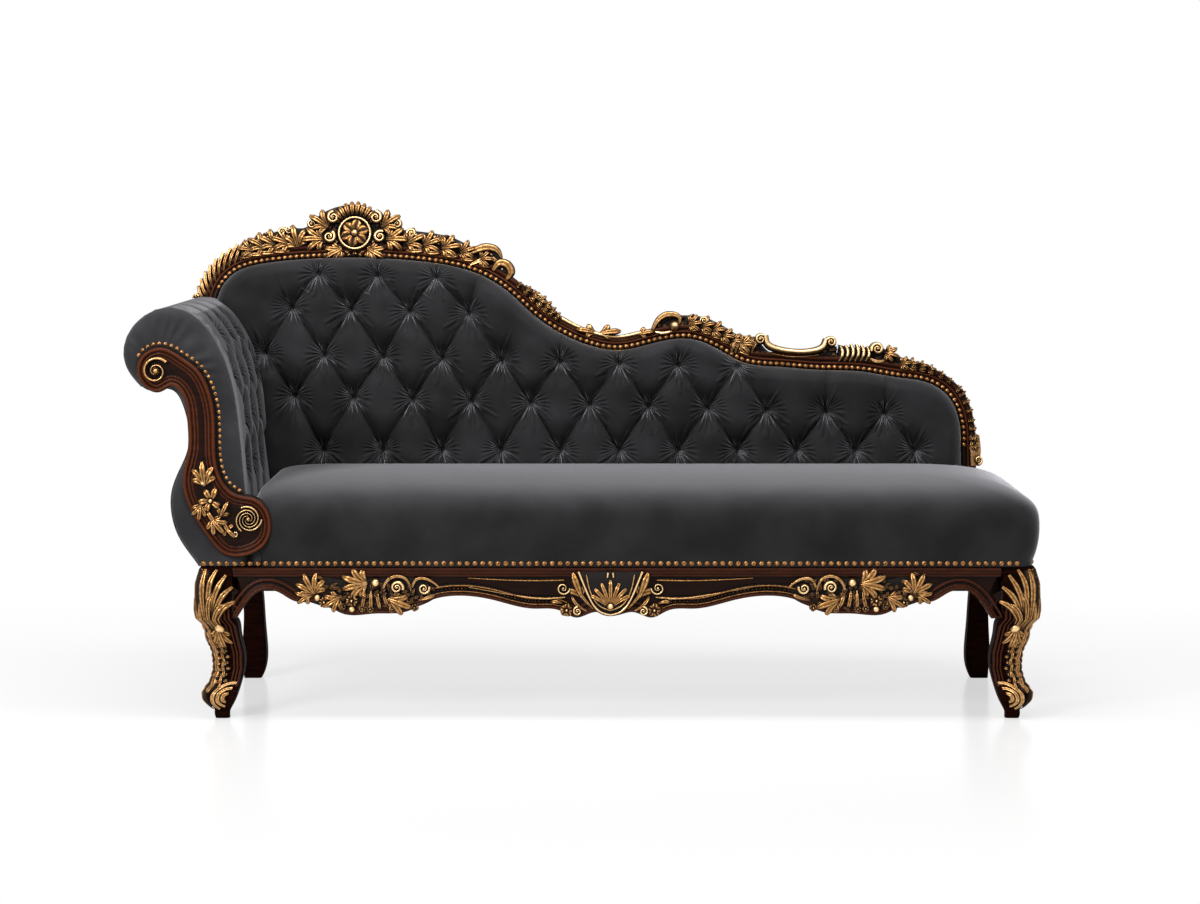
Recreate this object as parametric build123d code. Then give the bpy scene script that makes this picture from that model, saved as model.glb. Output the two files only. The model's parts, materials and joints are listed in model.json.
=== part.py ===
from build123d import *
import math
import os

# Chaise longue: one scroll arm at the left, a stepped carved back, a sprung seat and four legs.
# Sizes are in millimetres. X runs along the seat to the right, Y to the back and Z up.
# While the pieces are made, Y is measured from the front face of the apron and X from a point
# near the middle of the seat. The last step moves everything to the middle of its own outline.

# Seat frame
FRAME_MIDDLE = 71.0
FRAME_LENGTH = 1674.0
# Length of the frame at which the outlines along X below are drawn
DRAWN_LENGTH = 1674.0
FRAME_DEPTH = 592.0
RAIL_TOP = 310.0
RAIL_BOTTOM = 264.0
APRON_THICKNESS = 28.0
REAR_RAIL_THICKNESS = 38.0
REAR_RAIL_INSET = 4.0
END_RAIL_THICKNESS = 30.0
END_RAIL_INSET = 6.0
BATTEN_THICKNESS = 24.0
BATTEN_HEIGHT = 30.0
CROSS_RAIL_WIDTH = 40.0
CROSS_RAIL_HEIGHT = 38.0
CROSS_RAIL_LIFT = 4.0
CORNER_BLOCK_SIDE = 70.0
CORNER_BLOCK_HEIGHT = 36.0
CORNER_BLOCK_LIFT = 4.0
FIT_GAP = 0.2
# How far a cutting shape runs past the piece it cuts
OVERRUN = 1.0

# Legs
FRONT_BLOCK = 64.0
REAR_BLOCK = 54.0
REAR_BLOCK_INSET = 12.0
BLOCK_BOTTOM = 205.0
FOOT_INSET = 39.0
LEG_CORNER = 7.0
# Each row: height, how far the middle of the section stands out towards the corner, half width.
FRONT_LEG_SECTIONS = [
    (190.0, -3.0, 31.5),
    (171.0, -7.0, 29.5),
    (131.0, -17.0, 26.5),
    (100.0, -18.0, 25.5),
    (75.0, -12.0, 26.0),
    (54.0, -1.0, 31.0),
    (37.0, 1.0, 27.0),
    (17.0, 0.0, 16.0),
    (0.0, 0.0, 14.0),
]
# Each row: height, sweep to the back, spread to the end, half width.
REAR_LEG_SECTIONS = [
    (178.0, 1.0, -8.0, 23.0),
    (120.0, 5.0, -11.0, 23.0),
    (62.0, 13.0, -11.0, 26.0),
    (0.0, 24.0, -5.0, 19.0),
]

# Shaped lower edge of the apron, from the middle to the leg: distance from the middle, height.
APRON_MIDDLE = 64.0
APRON_EDGE = [
    (0.0, 212.0),
    (38.0, 219.0),
    (75.0, 208.0),
    (108.0, 222.0),
    (160.0, 226.0),
    (240.0, 243.0),
    (320.0, 252.0),
    (370.0, 242.0),
    (417.0, 220.0),
    (480.0, 216.0),
    (545.0, 216.0),
    (590.0, 238.0),
    (640.0, 241.0),
    (675.0, 260.0),
    (705.0, 263.0),
    (730.0, 246.0),
    (748.0, 222.0),
    (758.0, 206.0),
]

# Joint hardware
DOWEL_RADIUS = 5.0
DOWEL_LENGTH = 40.0
HOLE_CLEARANCE = 0.15
SCREW_RADIUS = 2.5
SCREW_LENGTH = 44.0
SCREW_HEAD_RADIUS = 4.5
SCREW_HEAD_HEIGHT = 2.5
BOLT_RADIUS = 4.0
BOLT_HEAD_RADIUS = 8.0
BOLT_HEAD_HEIGHT = 5.0
BOLT_REACH = 34.0
BOLT_COUNT = 4
BOLT_PITCH = 400.0
CREST_DOWEL_LIFT = 6.4

# Seat upholstery
WEB_WIDTH = 50.0
WEB_THICKNESS = 1.6
SPRING_COLUMNS = 8
# Middles of the outer springs from the end rails and of the last row from the rear rail
SPRING_END_MARGIN = 118.5
SPRING_ROWS = 3
SPRING_REAR_MARGIN = 135.0
SPRING_FIRST_ROW = 115.0
SPRING_RADIUS = 34.0
SPRING_WAIST = 24.0
SPRING_HEIGHT = 118.0
CLOTH_THICKNESS = 1.6
DUST_COVER_THICKNESS = 2.0
DUST_COVER_MARGIN = 1.0
DUST_COVER_LEG_GAP = 2.0
# Sides of the seat from the ends of the frame
SEAT_LEFT_INSET = 106.0
SEAT_RIGHT_INSET = 2.0
SEAT_FRONT = -6.0
SEAT_PLINTH = 16.0
SEAT_WALL = 12.0
SEAT_REAR_GAP = 3.0
# Each row: height above the rail, inset of the front, of the right end, and of the left and rear
# sides, corner radius.
SEAT_SECTIONS = [
    (16.0, 0.0, 0.0, 0.0, 34.0),
    (45.0, -10.0, -10.0, 0.0, 36.0),
    (85.0, -13.0, -13.0, 0.0, 38.0),
    (116.0, -8.0, -8.0, 1.0, 40.0),
    (136.0, 12.0, 10.0, 4.0, 44.0),
    (151.0, 50.0, 36.0, 10.0, 50.0),
    (163.0, 115.0, 76.0, 26.0, 60.0),
    (171.0, 200.0, 150.0, 70.0, 70.0),
]
SEAT_CORNER = 34.0

# Back, drawn upright and then leaned back about the top rear of the seat frame
RECLINE = 8.0
BACK_THICKNESS = 42.0
RAIL_FACE = 20.0
RAIL_WIDTH = 32.0
FLANGE_WIDTH = 24.0
# Nailed edge of the back upholstery: place along X, height up the leaned back.
BACK_EDGE = [
    (-800.0, 470.0),
    (-793.0, 527.0),
    (-762.0, 572.0),
    (-690.0, 597.0),
    (-600.0, 606.0),
    (-510.0, 609.0),
    (-400.0, 605.0),
    (-310.0, 595.0),
    (-235.0, 576.0),
    (-158.0, 530.0),
    (-108.0, 484.0),
    (-63.0, 452.0),
    (8.0, 419.0),
    (75.0, 407.0),
    (150.0, 422.0),
    (235.0, 431.0),
    (300.0, 405.0),
    (345.0, 381.0),
    (420.0, 371.0),
    (512.0, 364.0),
    (600.0, 361.0),
    (680.0, 348.0),
    (745.0, 337.0),
    (789.0, 309.0),
    (812.0, 265.0),
    (818.0, 200.0),
]
CREST_SPLIT = -120.0
POST_SPLIT = 690.0
LEFT_POST_TOP = 300.0
BACK_RAIL_HEIGHT = 60.0
STAY_WIDTH = 40.0
STAY_PLACES = [-560.0, -250.0, 80.0, 400.0]
BACK_WEB_PLACES = [-640.0, -480.0, -320.0, -160.0, 0.0, 160.0, 320.0, 480.0, 640.0]
BACK_WEB_ROWS = [120.0, 200.0, 280.0]
STUFFING_FRONT = 22.0
PAD_FRONT = 68.0
PAD_SHOULDER = 20.0
PAD_CLEARANCE = 1.0
OUTSIDE_BACK_THICKNESS = 2.5
OUTSIDE_BACK_LAP = 12.0

# Buttons and pleats of the back
BUTTON_PITCH = 127.5
BUTTON_LEVELS = (190.0, 289.0, 380.0, 480.0, 555.0)
BUTTON_TILT = 0.03
BUTTON_LEAN = 7.0
BUTTON_LEANING_ROW = 2
BUTTON_START = -688.0
BUTTON_COLUMNS = 13
BUTTON_MARGIN = 16.0
BUTTON_TOP_MARGIN = 14.0
BUTTON_CORNER_MARGIN = 105.0
BUTTON_END_MARGIN = 48.0
BUTTON_RADIUS = 8.0
BUTTON_HEIGHT = 6.0
TUFT_RADIUS = 32.0
TUFT_DEPTH = 38.0
PLEAT_HALF_WIDTH = 17.0
PLEAT_DEPTH = 22.0

# Arm: outline of the carved facing (X, Z), run of the wooden core and the upholstered profile
FACING_OUTLINE = [
    (-887.0, 705.0),
    (-880.0, 731.0),
    (-856.0, 750.0),
    (-831.0, 752.0),
    (-798.0, 735.0),
    (-764.0, 709.0),
    (-743.0, 672.0),
    (-731.0, 615.0),
    (-730.0, 545.0),
    (-720.0, 493.0),
    (-690.0, 460.0),
    (-655.0, 452.0),
    (-630.0, 432.0),
    (-620.0, 401.0),
    (-630.0, 360.0),
    (-660.0, 338.0),
    (-715.0, 337.0),
    (-746.0, 368.0),
    (-784.0, 429.0),
    (-798.0, 490.0),
    (-787.0, 545.0),
    (-787.0, 610.0),
    (-799.0, 660.0),
    (-816.0, 674.0),
    (-839.0, 663.0),
    (-870.0, 672.0),
]
CORE_RUN = [
    (-735.0, 300.0),
    (-740.0, 370.0),
    (-756.0, 450.0),
    (-759.0, 540.0),
    (-762.0, 630.0),
    (-788.0, 688.0),
    (-842.0, 706.0),
]
CORE_WIDTH = 38.0
CORE_SCROLL_RADIUS = 27.0
ARM_PROFILE = [
    (-882.0, 672.0),
    (-909.0, 708.0),
    (-916.0, 738.0),
    (-906.0, 778.0),
    (-873.0, 814.0),
    (-823.0, 830.0),
    (-775.0, 814.0),
    (-735.0, 768.0),
    (-709.0, 710.0),
    (-693.0, 640.0),
    (-684.0, 560.0),
    (-677.0, 480.0),
    (-671.0, 400.0),
    (-668.0, 311.0),
]
ARM_OUTSIDE = [
    (-799.0, 640.0),
    (-788.0, 600.0),
    (-789.0, 545.0),
    (-808.0, 500.0),
    (-822.0, 460.0),
    (-822.0, 415.0),
    (-807.0, 368.0),
    (-783.0, 332.0),
    (-768.0, 311.0),
]
ARM_PAD_THICKNESS = 26.0
ARM_PANEL_THICKNESS = 4.0
FACING_FRONT = -24.0
FACING_BACK = 10.0
ARM_FRAME_THICKNESS = 22.0
ARM_BAND_TOP = 345.0
ARM_BAND_LENGTH = 126.0
ARM_TOP_RAIL_RADIUS = 18.0
ARM_BOTTOM_RAIL_WIDTH = 38.0
ARM_BOTTOM_RAIL_HEIGHT = 30.0
NOTCH_LENGTH = 149.0
NOTCH_DEPTH = 34.0
ARM_BUTTON_START_Y = 130.0
ARM_BUTTON_PITCH_Y = 130.0
ARM_BUTTON_START_Z = 530.0
ARM_BUTTON_PITCH_Z = 90.0
ARM_BUTTON_ROWS = 3
ARM_BUTTON_COLUMNS = 3
# First point of the arm profile on the inner side of the roll
ARM_INSIDE = 5
ARM_TUFT_RADIUS = 26.0
ARM_TUFT_DEPTH = 18.0
ARM_PLEAT_DEPTH = 10.0
ARM_PLEAT_HALF_WIDTH = 12.0
ARM_TUFT_OVERRUN = 4.0

# Nails
SEAT_NAIL_PITCH = 15.5
SEAT_NAIL_RADIUS = 5.5
SEAT_NAIL_LIFT = 8.0
BACK_NAIL_PITCH = 12.6
BACK_NAIL_RADIUS = 4.8
BACK_NAIL_OFFSET = 6.0
ARM_NAIL_PITCH = 12.2
ARM_NAIL_RADIUS = 4.6
ARM_NAIL_OFFSET = 6.0
# Points of the facing outline between which the arm nails run
ARM_NAILS_FROM = 1
ARM_NAILS_TO = 11
NAIL_RISE = 0.6

# Applied carving on the back rail: outer outline from left to right (X, height up the back).
CARVING_RELIEF = 24.0
CARVING_BACK = 14.0
CARVING_FOOT = 12.0
CARVING_GAP = 0.3
CARVING_ROOT = 96.0
CREST_CARVINGS = {
    "crest_spray_left": [
        (-846.0, 500.0),
        (-842.0, 532.0),
        (-830.0, 565.0),
        (-795.0, 610.0),
        (-728.0, 649.0),
        (-670.0, 671.0),
        (-642.0, 676.0),
    ],
    "crest_cartouche": [
        (-640.0, 683.0),
        (-607.0, 680.0),
        (-588.0, 697.0),
        (-555.0, 719.0),
        (-498.0, 729.0),
        (-447.0, 713.0),
        (-415.0, 696.0),
        (-396.0, 674.0),
    ],
    "crest_spray_right": [
        (-394.0, 675.0),
        (-331.0, 668.0),
        (-277.0, 655.0),
        (-216.0, 629.0),
        (-187.0, 622.0),
        (-173.0, 596.0),
    ],
    "sweep_carving": [
        (-171.0, 592.0),
        (-155.0, 570.0),
        (-101.0, 541.0),
        (-70.0, 512.0),
        (-43.0, 478.0),
    ],
    "hump_carving": [
        (145.0, 455.0),
        (158.0, 470.0),
        (178.0, 483.0),
        (214.0, 488.0),
        (257.0, 485.0),
        (305.0, 465.0),
        (338.0, 444.0),
    ],
    "scroll_carving": [
        (340.0, 443.0),
        (380.0, 441.0),
        (402.0, 416.0),
        (470.0, 408.0),
        (510.0, 414.0),
        (531.0, 427.0),
        (551.0, 424.0),
    ],
    "volute_carving": [
        (553.0, 424.0),
        (585.0, 418.0),
        (614.0, 418.0),
        (639.0, 423.0),
        (665.0, 408.0),
        (678.0, 400.0),
    ],
    "end_carving": [
        (680.0, 399.0),
        (729.0, 386.0),
        (765.0, 371.0),
        (800.0, 347.0),
        (826.0, 323.0),
        (842.0, 290.0),
        (851.0, 250.0),
        (860.0, 190.0),
    ],
}
END_CARVING_FOOT = 150.0

# Applied carving on the apron, the knees and the arm facing
APRON_RELIEF = 12.0
SHIELD_SHIFT = -7.0
CARTOUCHE_HALF = [
    (0.0, 303.0),
    (44.0, 302.0),
    (70.0, 296.0),
    (76.0, 270.0),
    (96.0, 244.0),
    (92.0, 216.0),
    (66.0, 210.0),
    (40.0, 220.0),
    (0.0, 212.0),
]
SPRAY_PLACE = 497.0
SPRAY_OUTLINE = [
    (-146.0, 262.0),
    (-112.0, 286.0),
    (-60.0, 290.0),
    (0.0, 288.0),
    (60.0, 288.0),
    (128.0, 290.0),
    (142.0, 262.0),
    (110.0, 240.0),
    (66.0, 228.0),
    (20.0, 220.0),
    (-40.0, 220.0),
    (-96.0, 229.0),
]
KNEE_RELIEF = 8.0
KNEE_TOP = 300.0
KNEE_BOTTOM = 228.0
KNEE_MARGIN = 4.0
FACING_LEAF = [
    (-712.0, 348.0),
    (-738.0, 381.0),
    (-770.0, 430.0),
    (-785.0, 480.0),
    (-776.0, 518.0),
    (-760.0, 500.0),
    (-748.0, 455.0),
    (-724.0, 420.0),
    (-716.0, 380.0),
]
FACING_LEAF_RELIEF = 8.0

# Places worked out from the sizes above
FRAME_LEFT = FRAME_MIDDLE - FRAME_LENGTH / 2
STRETCH = FRAME_LENGTH / DRAWN_LENGTH
ARM_SHIFT = (DRAWN_LENGTH - FRAME_LENGTH) / 2
SEAT_LEFT = FRAME_LEFT + SEAT_LEFT_INSET
SEAT_RIGHT = FRAME_LEFT + FRAME_LENGTH - SEAT_RIGHT_INSET
ARM_BAND_RIGHT = FRAME_LEFT + ARM_BAND_LENGTH
NOTCH_RIGHT = FRAME_LEFT + NOTCH_LENGTH
FRONT_BLOCK_INNER = FRAME_LENGTH / 2 - FRONT_BLOCK
REAR_BLOCK_INNER = FRAME_LENGTH / 2 - REAR_BLOCK_INSET - REAR_BLOCK
REAR_RAIL_BACK = FRAME_DEPTH - REAR_RAIL_INSET
REAR_RAIL_FRONT = REAR_RAIL_BACK - REAR_RAIL_THICKNESS
REAR_BLOCK_FRONT = FRAME_DEPTH - REAR_BLOCK
END_RAIL_OUTER = FRAME_LENGTH / 2 - END_RAIL_INSET
END_RAIL_INNER = END_RAIL_OUTER - END_RAIL_THICKNESS
BATTEN_BACK = APRON_THICKNESS + BATTEN_THICKNESS
BACK_FOOT_Y = REAR_RAIL_FRONT
SPRING_PITCH = 2 * (END_RAIL_INNER - SPRING_END_MARGIN) / (SPRING_COLUMNS - 1)
SPRING_ROW_PITCH = (REAR_RAIL_FRONT - SPRING_REAR_MARGIN - SPRING_FIRST_ROW) / (SPRING_ROWS - 1)
SIN_RECLINE = math.sin(math.radians(RECLINE))
COS_RECLINE = math.cos(math.radians(RECLINE))
FAR = 3000.0
pieces = {}


def along(x):
    """Place along the frame of an X that is drawn at the drawn length."""
    return FRAME_MIDDLE + (x - FRAME_MIDDLE) * STRETCH


def stretched(points):
    """An outline of the back, drawn at the drawn length, to the length of the frame."""
    return [(along(x), level) for x, level in points]


def by_arm(points):
    """An outline of the arm, which keeps its size and its place at the left end of the frame."""
    return [(x + ARM_SHIFT, level) for x, level in points]


back_edge = stretched(BACK_EDGE)
arm_profile = by_arm(ARM_PROFILE)
arm_inside = arm_profile[ARM_INSIDE:]
arm_outside = by_arm(ARM_OUTSIDE)
core_run = by_arm(CORE_RUN)
facing_outline = by_arm(FACING_OUTLINE)
facing_leaf = by_arm(FACING_LEAF)
button_pitch = BUTTON_PITCH * STRETCH


def box(x0, x1, y0, y1, z0, z1):
    """A block between two opposite corners."""
    middle = ((x0 + x1) / 2, (y0 + y1) / 2, (z0 + z1) / 2)
    return Pos(*middle) * Box(x1 - x0, y1 - y0, z1 - z0)


def prism(outline, front, back):
    """Give an outline drawn in X and Z a thickness along Y."""
    plane = Plane(origin=(0, back, 0), x_dir=(1, 0, 0), z_dir=(0, -1, 0))
    return extrude(plane * outline, back - front)


def lean(shape):
    """Lean a piece of the upright back to its place on the seat frame."""
    return Location((0, BACK_FOOT_Y, RAIL_TOP), (-RECLINE, 0, 0)) * shape


def above_rail(shape):
    """Take off what falls below the top of the seat rails."""
    return shape - box(-FAR, FAR, -FAR, FAR, -FAR, RAIL_TOP + FIT_GAP)


def pad_plane(height):
    """Y of the front of the back pad at a height above the floor."""
    rise = height - RAIL_TOP
    return BACK_FOOT_Y + rise * SIN_RECLINE / COS_RECLINE - PAD_FRONT / COS_RECLINE


def shifted(points, distance):
    """Points moved square to the run of the line, to its left for a positive distance."""
    moved = []
    last = len(points) - 1
    for index, (x, z) in enumerate(points):
        before = points[max(index - 1, 0)]
        after = points[min(index + 1, last)]
        run_x = after[0] - before[0]
        run_z = after[1] - before[1]
        length = math.hypot(run_x, run_z)
        moved.append((x - run_z / length * distance, z + run_x / length * distance))
    return moved


def solids_of(shape):
    """The separate solids of a shape as one group."""
    return Compound(children=list(shape.solids()))


def group(shapes):
    """Several solids as one piece."""
    found = []
    for shape in shapes:
        found.extend(shape.solids())
    return Compound(children=found)


def tilted_half(front, back):
    """A slab that follows the leaned back, between two depths behind its front face."""
    return lean(box(-FAR, FAR, front, back, -FAR, FAR))


def bar(start, end, radius):
    """A round bar between two points."""
    run = Vector(*end) - Vector(*start)
    plane = Plane(origin=start, z_dir=run)
    return extrude(plane * Circle(radius), run.length)


def interpolate(points, place, given, wanted):
    """Value at a place along a line of points, by straight runs."""
    for first, second in zip(points, points[1:]):
        low = min(first[given], second[given])
        high = max(first[given], second[given])
        if low <= place <= high and high > low:
            part = (place - first[given]) / (second[given] - first[given])
            return first[wanted] + part * (second[wanted] - first[wanted])
    return points[-1][wanted]


def nail(radius):
    """A domed nail head, flat below and standing along Z."""
    rise = radius * NAIL_RISE
    sphere_radius = (radius ** 2 + rise ** 2) / (2 * rise)
    ball = Pos(0, 0, rise - sphere_radius) * Sphere(sphere_radius)
    return ball - Pos(0, 0, -sphere_radius) * Box(FAR, FAR, 2 * sphere_radius)


def nails_along(line, pitch, radius, depth, free_from):
    """Nail heads facing the front at an even pitch along a line, right of or above a given point."""
    head = nail(radius)
    count = int(line.length // pitch)
    heads = []
    for index in range(count + 1):
        point = line.position_at(index / count)
        if point.X > free_from[0] or point.Y > free_from[1]:
            heads.append(Location((point.X, depth, point.Y), (90, 0, 0)) * head)
    return heads


# Legs
def front_leg(side):
    """Cabriole leg with a square block at its top; side is -1 at the left and 1 at the right."""
    outer = FRAME_MIDDLE + side * FRAME_LENGTH / 2
    foot_x = outer - side * FOOT_INSET
    block_middle = FRONT_BLOCK / 2
    block_x = outer - side * block_middle
    block = box(block_x - block_middle, block_x + block_middle, 0, FRONT_BLOCK, BLOCK_BOTTOM, RAIL_TOP)
    foot_of_block = Pos(block_x, block_middle, BLOCK_BOTTOM)
    sections = [foot_of_block * RectangleRounded(FRONT_BLOCK, FRONT_BLOCK, LEG_CORNER)]
    for height, out, half in FRONT_LEG_SECTIONS:
        place = Pos(foot_x + side * out, FOOT_INSET - out, height)
        sections.append(place * RectangleRounded(2 * half, 2 * half, LEG_CORNER))
    return block + loft(sections)


def rear_leg(side):
    """Plain leg that sweeps to the back."""
    middle = REAR_BLOCK / 2
    x = FRAME_MIDDLE + side * (REAR_BLOCK_INNER + middle)
    y = FRAME_DEPTH - middle
    block = box(x - middle, x + middle, y - middle, y + middle, BLOCK_BOTTOM, RAIL_TOP)
    sections = [Pos(x, y, BLOCK_BOTTOM) * RectangleRounded(REAR_BLOCK, REAR_BLOCK, LEG_CORNER)]
    for height, back, spread, half in REAR_LEG_SECTIONS:
        place = Pos(x + side * spread, y + back, height)
        sections.append(place * RectangleRounded(2 * half, 2 * half, LEG_CORNER))
    return block + loft(sections)


pieces["front_left_leg"] = front_leg(-1)
pieces["front_right_leg"] = front_leg(1)
pieces["rear_left_leg"] = rear_leg(-1)
pieces["rear_right_leg"] = rear_leg(1)

# Seat frame
right_edge = [(APRON_MIDDLE + place * STRETCH, height) for place, height in APRON_EDGE]
left_edge = [(APRON_MIDDLE - place * STRETCH, height) for place, height in reversed(APRON_EDGE[1:])]
apron_line = left_edge + right_edge
apron_left = FRAME_MIDDLE - FRONT_BLOCK_INNER
apron_right = FRAME_MIDDLE + FRONT_BLOCK_INNER
apron_edge = Spline(*apron_line)
apron_face = make_face(
    [
        apron_edge,
        Line(apron_line[-1], (apron_right + FAR, apron_line[-1][1])),
        Line((apron_right + FAR, apron_line[-1][1]), (apron_right + FAR, RAIL_TOP)),
        Line((apron_right + FAR, RAIL_TOP), (apron_left - FAR, RAIL_TOP)),
        Line((apron_left - FAR, RAIL_TOP), (apron_left - FAR, apron_line[0][1])),
        Line((apron_left - FAR, apron_line[0][1]), apron_line[0]),
    ]
)
apron = prism(apron_face, 0, APRON_THICKNESS)
apron = apron & box(apron_left, apron_right, -FAR, FAR, 0, RAIL_TOP)
pieces["front_seat_rail"] = apron
pieces["rear_seat_rail"] = box(
    FRAME_MIDDLE - REAR_BLOCK_INNER,
    FRAME_MIDDLE + REAR_BLOCK_INNER,
    REAR_RAIL_FRONT,
    REAR_RAIL_BACK,
    RAIL_BOTTOM,
    RAIL_TOP,
)
end_rail_bottom = RAIL_BOTTOM - WEB_THICKNESS - FIT_GAP
for name, side in (("left_end_rail", -1), ("right_end_rail", 1)):
    across = sorted((FRAME_MIDDLE + side * END_RAIL_INNER, FRAME_MIDDLE + side * END_RAIL_OUTER))
    pieces[name] = box(*across, FRONT_BLOCK, REAR_BLOCK_FRONT, end_rail_bottom, RAIL_TOP)
pieces["webbing_batten"] = box(
    apron_left, apron_right, APRON_THICKNESS, BATTEN_BACK, RAIL_BOTTOM, RAIL_BOTTOM + BATTEN_HEIGHT
)
cross_rails = []
for side in (-1, 1):
    x = FRAME_MIDDLE + side * SPRING_PITCH
    bottom = RAIL_BOTTOM + CROSS_RAIL_LIFT
    cross_rails.append(
        box(
            x - CROSS_RAIL_WIDTH / 2,
            x + CROSS_RAIL_WIDTH / 2,
            BATTEN_BACK,
            REAR_RAIL_FRONT,
            bottom,
            bottom + CROSS_RAIL_HEIGHT,
        )
    )
pieces["seat_cross_rails"] = group(cross_rails)

# Corner blocks and their screws
blocks = []
screws = []
screw_holes = []
block_bottom = RAIL_BOTTOM + CORNER_BLOCK_LIFT
for side in (-1, 1):
    for corner_y, turn in ((FRONT_BLOCK + FIT_GAP, 1), (REAR_BLOCK_FRONT - FIT_GAP, -1)):
        wall = FRAME_MIDDLE + side * (END_RAIL_INNER - FIT_GAP)
        triangle = make_face(
            Polyline(
                (wall, corner_y),
                (wall - side * CORNER_BLOCK_SIDE, corner_y),
                (wall, corner_y + turn * CORNER_BLOCK_SIDE),
                close=True,
            )
        )
        block = extrude(Pos(0, 0, block_bottom) * triangle, CORNER_BLOCK_HEIGHT)
        screw_y = corner_y + turn * CORNER_BLOCK_SIDE / 3
        screw_z = block_bottom + CORNER_BLOCK_HEIGHT / 2
        head_x = wall - side * CORNER_BLOCK_SIDE / 3
        tip = (head_x + side * SCREW_LENGTH, screw_y, screw_z)
        start = (head_x, screw_y, screw_z)
        head_end = (head_x + side * SCREW_HEAD_HEIGHT, screw_y, screw_z)
        outside = (head_x - side * CORNER_BLOCK_SIDE, screw_y, screw_z)
        screws.append(bar(start, tip, SCREW_RADIUS) + bar(start, head_end, SCREW_HEAD_RADIUS))
        hole = bar(start, (tip[0] + side * OVERRUN, screw_y, screw_z), SCREW_RADIUS + HOLE_CLEARANCE)
        counterbore = bar(outside, head_end, SCREW_HEAD_RADIUS + HOLE_CLEARANCE)
        blocks.append(block - hole - counterbore)
        screw_holes.append(hole)
pieces["corner_blocks"] = group(blocks)
pieces["corner_block_screws"] = group(screws)
for name in ("left_end_rail", "right_end_rail"):
    for hole in screw_holes:
        pieces[name] = pieces[name] - hole

# Dowels of the seat frame
dowels = []


def add_dowel(place, direction, first, second):
    """A dowel across the joint of two pieces, with its hole in both."""
    run = Vector(*direction) * (DOWEL_LENGTH / 2)
    middle = Vector(*place)
    dowels.append(bar(tuple(middle - run), tuple(middle + run), DOWEL_RADIUS))
    longer = Vector(*direction) * (DOWEL_LENGTH / 2 + OVERRUN)
    hole = bar(tuple(middle - longer), tuple(middle + longer), DOWEL_RADIUS + HOLE_CLEARANCE)
    for name in (first, second):
        pieces[name] = pieces[name] - hole


quarter_height = (RAIL_TOP - RAIL_BOTTOM) / 4
for side, word in ((-1, "left"), (1, "right")):
    for level in (RAIL_BOTTOM + quarter_height, RAIL_TOP - quarter_height):
        front_joint = (FRAME_MIDDLE + side * FRONT_BLOCK_INNER, APRON_THICKNESS / 2, level)
        add_dowel(front_joint, (1, 0, 0), "front_seat_rail", f"front_{word}_leg")
        rear_middle = (REAR_RAIL_FRONT + REAR_RAIL_BACK) / 2
        rear_joint = (FRAME_MIDDLE + side * REAR_BLOCK_INNER, rear_middle, level)
        add_dowel(rear_joint, (1, 0, 0), "rear_seat_rail", f"rear_{word}_leg")
        end_x = FRAME_MIDDLE + side * (END_RAIL_INNER + END_RAIL_OUTER) / 2
        add_dowel((end_x, FRONT_BLOCK, level), (0, 1, 0), f"{word}_end_rail", f"front_{word}_leg")
        add_dowel((end_x, REAR_BLOCK_FRONT, level), (0, 1, 0), f"{word}_end_rail", f"rear_{word}_leg")

pieces["rail_dowels"] = group(dowels)

# Seat webbing, springs and dust cover
web_low = RAIL_BOTTOM - 2 * WEB_THICKNESS - FIT_GAP
strips = []
spring_places = []
for column in range(SPRING_COLUMNS):
    x = FRAME_MIDDLE + (column - (SPRING_COLUMNS - 1) / 2) * SPRING_PITCH
    strips.append(
        box(
            x - WEB_WIDTH / 2,
            x + WEB_WIDTH / 2,
            APRON_THICKNESS + DUST_COVER_MARGIN,
            REAR_RAIL_BACK - DUST_COVER_MARGIN,
            RAIL_BOTTOM - WEB_THICKNESS,
            RAIL_BOTTOM,
        )
    )
    for row in range(SPRING_ROWS):
        spring_places.append((x, SPRING_FIRST_ROW + row * SPRING_ROW_PITCH))
web_left = FRAME_MIDDLE - END_RAIL_OUTER + DUST_COVER_MARGIN
web_right = FRAME_MIDDLE + END_RAIL_OUTER - DUST_COVER_MARGIN
for row in range(SPRING_ROWS):
    y = SPRING_FIRST_ROW + row * SPRING_ROW_PITCH
    across = (y - WEB_WIDTH / 2, y + WEB_WIDTH / 2)
    strips.append(box(web_left, web_right, *across, web_low, web_low + WEB_THICKNESS))
pieces["seat_webbing"] = group(strips)
spring_foot = RAIL_BOTTOM + FIT_GAP
waist_level = SPRING_HEIGHT / 2
spring_outline = make_face(
    Polyline(
        (0, 0),
        (SPRING_RADIUS, 0),
        (SPRING_WAIST, waist_level),
        (SPRING_RADIUS, SPRING_HEIGHT),
        (0, SPRING_HEIGHT),
        close=True,
    )
)
spring = revolve(Plane.XZ * spring_outline, Axis.Z)
springs = [Pos(x, y, spring_foot) * spring for x, y in spring_places]
pieces["seat_springs"] = group(springs)
dust = box(
    web_left,
    web_right,
    APRON_THICKNESS + DUST_COVER_MARGIN,
    REAR_RAIL_BACK - DUST_COVER_MARGIN,
    web_low - FIT_GAP - DUST_COVER_THICKNESS,
    web_low - FIT_GAP,
)
for side in (-1, 1):
    beyond = FRAME_MIDDLE + side * FAR
    front_corner = sorted((FRAME_MIDDLE + side * (FRONT_BLOCK_INNER - DUST_COVER_LEG_GAP), beyond))
    rear_corner = sorted((FRAME_MIDDLE + side * (REAR_BLOCK_INNER - DUST_COVER_LEG_GAP), beyond))
    dust = dust - box(*front_corner, 0, FRONT_BLOCK + DUST_COVER_LEG_GAP, 0, RAIL_TOP)
    dust = dust - box(*rear_corner, REAR_BLOCK_FRONT - DUST_COVER_LEG_GAP, FAR, 0, RAIL_TOP)
pieces["dust_cover"] = dust


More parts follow.
